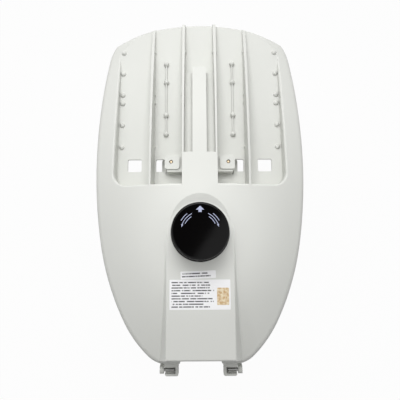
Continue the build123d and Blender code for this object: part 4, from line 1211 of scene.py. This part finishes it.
def mottled_foil(name):
    """Tan foil with a cloudy print."""
    material, parts, links, shader = new_material(name)
    grain = place_group(parts, SKIN_GRAIN, Grain_Scale=FOIL_GRAIN, Drift_Scale=FOIL_DRIFT)
    cloud = value_range(parts, links, grain.outputs["Drift"], 0.0, 1.0, *FOIL_CLOUD)
    tone = between(parts, links, cloud, FOIL_DARK, FOIL_LIGHT)
    rough = value_range(parts, links, grain.outputs["Height"], *FOIL_ROUGH)
    normal = relief(parts, links, grain.outputs["Height"], SHEET_DEPTH)
    dress(links, shader, tone, rough, normal)
    return material


foil = mottled_foil("foil_finish")
print("foil", foil.name)

# %% Sheets on the spine
STICKER_THICK = 0.00015
STICKER_CORNER = 0.0012
CORNER_STEPS = 5
ABOVE_ALL = 1.0

housing_mesh = nodes["top_housing"].data
housing_tree = BVHTree.FromPolygons(
    [vertex.co for vertex in housing_mesh.vertices],
    [tuple(face.vertices) for face in housing_mesh.polygons],
)


def roof_height(x, y):
    """Height of the housing's upper surface above a point."""
    return housing_tree.ray_cast(Vector((x, y, ABOVE_ALL)), Vector((0.0, 0.0, -1.0)))[0].z


def rounded_outline(low, high, radius):
    """Plan points of a rectangle with rounded corners."""
    outline = []
    left, rear = low[0] + radius, low[1] + radius
    right, front = high[0] - radius, high[1] - radius
    middles = ((right, front), (left, front), (left, rear), (right, rear))
    for quarter, (x, y) in enumerate(middles):
        for step in range(CORNER_STEPS + 1):
            angle = math.radians(90 * (quarter + step / CORNER_STEPS))
            outline.append((x + radius * math.cos(angle), y + radius * math.sin(angle)))
    return outline


def sticker(name, corners, material, lift=0.0, tilt=0.0):
    """A thin sheet on the spine's flat top, turned about its middle."""
    low, high = Vector(corners[0]), Vector(corners[1])
    middle = (low + high) / 2
    swing = Matrix.Rotation(tilt, 2)
    flat = rounded_outline(low, high, STICKER_CORNER)
    outline = [middle + swing @ (Vector(point) - middle) for point in flat]
    mesh = bmesh.new()
    slab(mesh, outline, roof_height(*middle) + lift, STICKER_THICK)
    add_piece(name, mesh, "housing", "housing_coat", material)


print("spine searched among", len(housing_mesh.polygons), "faces")

# %% Stickers and foil patch
MAIN_STICKER = ((-0.0472, 0.0230), (0.0454, 0.0677))
SMALL_STICKER = ((-0.0305, 0.0692), (0.0235, 0.0808))
FOIL_PATCH = ((0.0250, 0.0300), (0.0432, 0.0555))
SMALL_TILT = math.radians(2.0)
MAIN_PRINT = {"margin": 0.0022, "Rows": 10, "Reach": 0.76, "Tilt": 0.0}
SMALL_PRINT = {"margin": 0.0016, "Rows": 2, "Reach": 0.97, "Tilt": SMALL_TILT}

sticker("main_sticker", MAIN_STICKER, printed_paper("main_paper", *MAIN_STICKER, **MAIN_PRINT))
small_paper = printed_paper("small_paper", *SMALL_STICKER, **SMALL_PRINT)
sticker("small_sticker", SMALL_STICKER, small_paper, tilt=SMALL_TILT)
sticker("foil_patch", FOIL_PATCH, foil, lift=STICKER_THICK)

# %% [markdown]
# ## Size
# The imported model's box is printed, to show its size. The dressed model must stay the size of
# the imported one.

# %% Print the imported box
print("cad box", [[round(value, 4) for value in corner] for corner in cad_box])
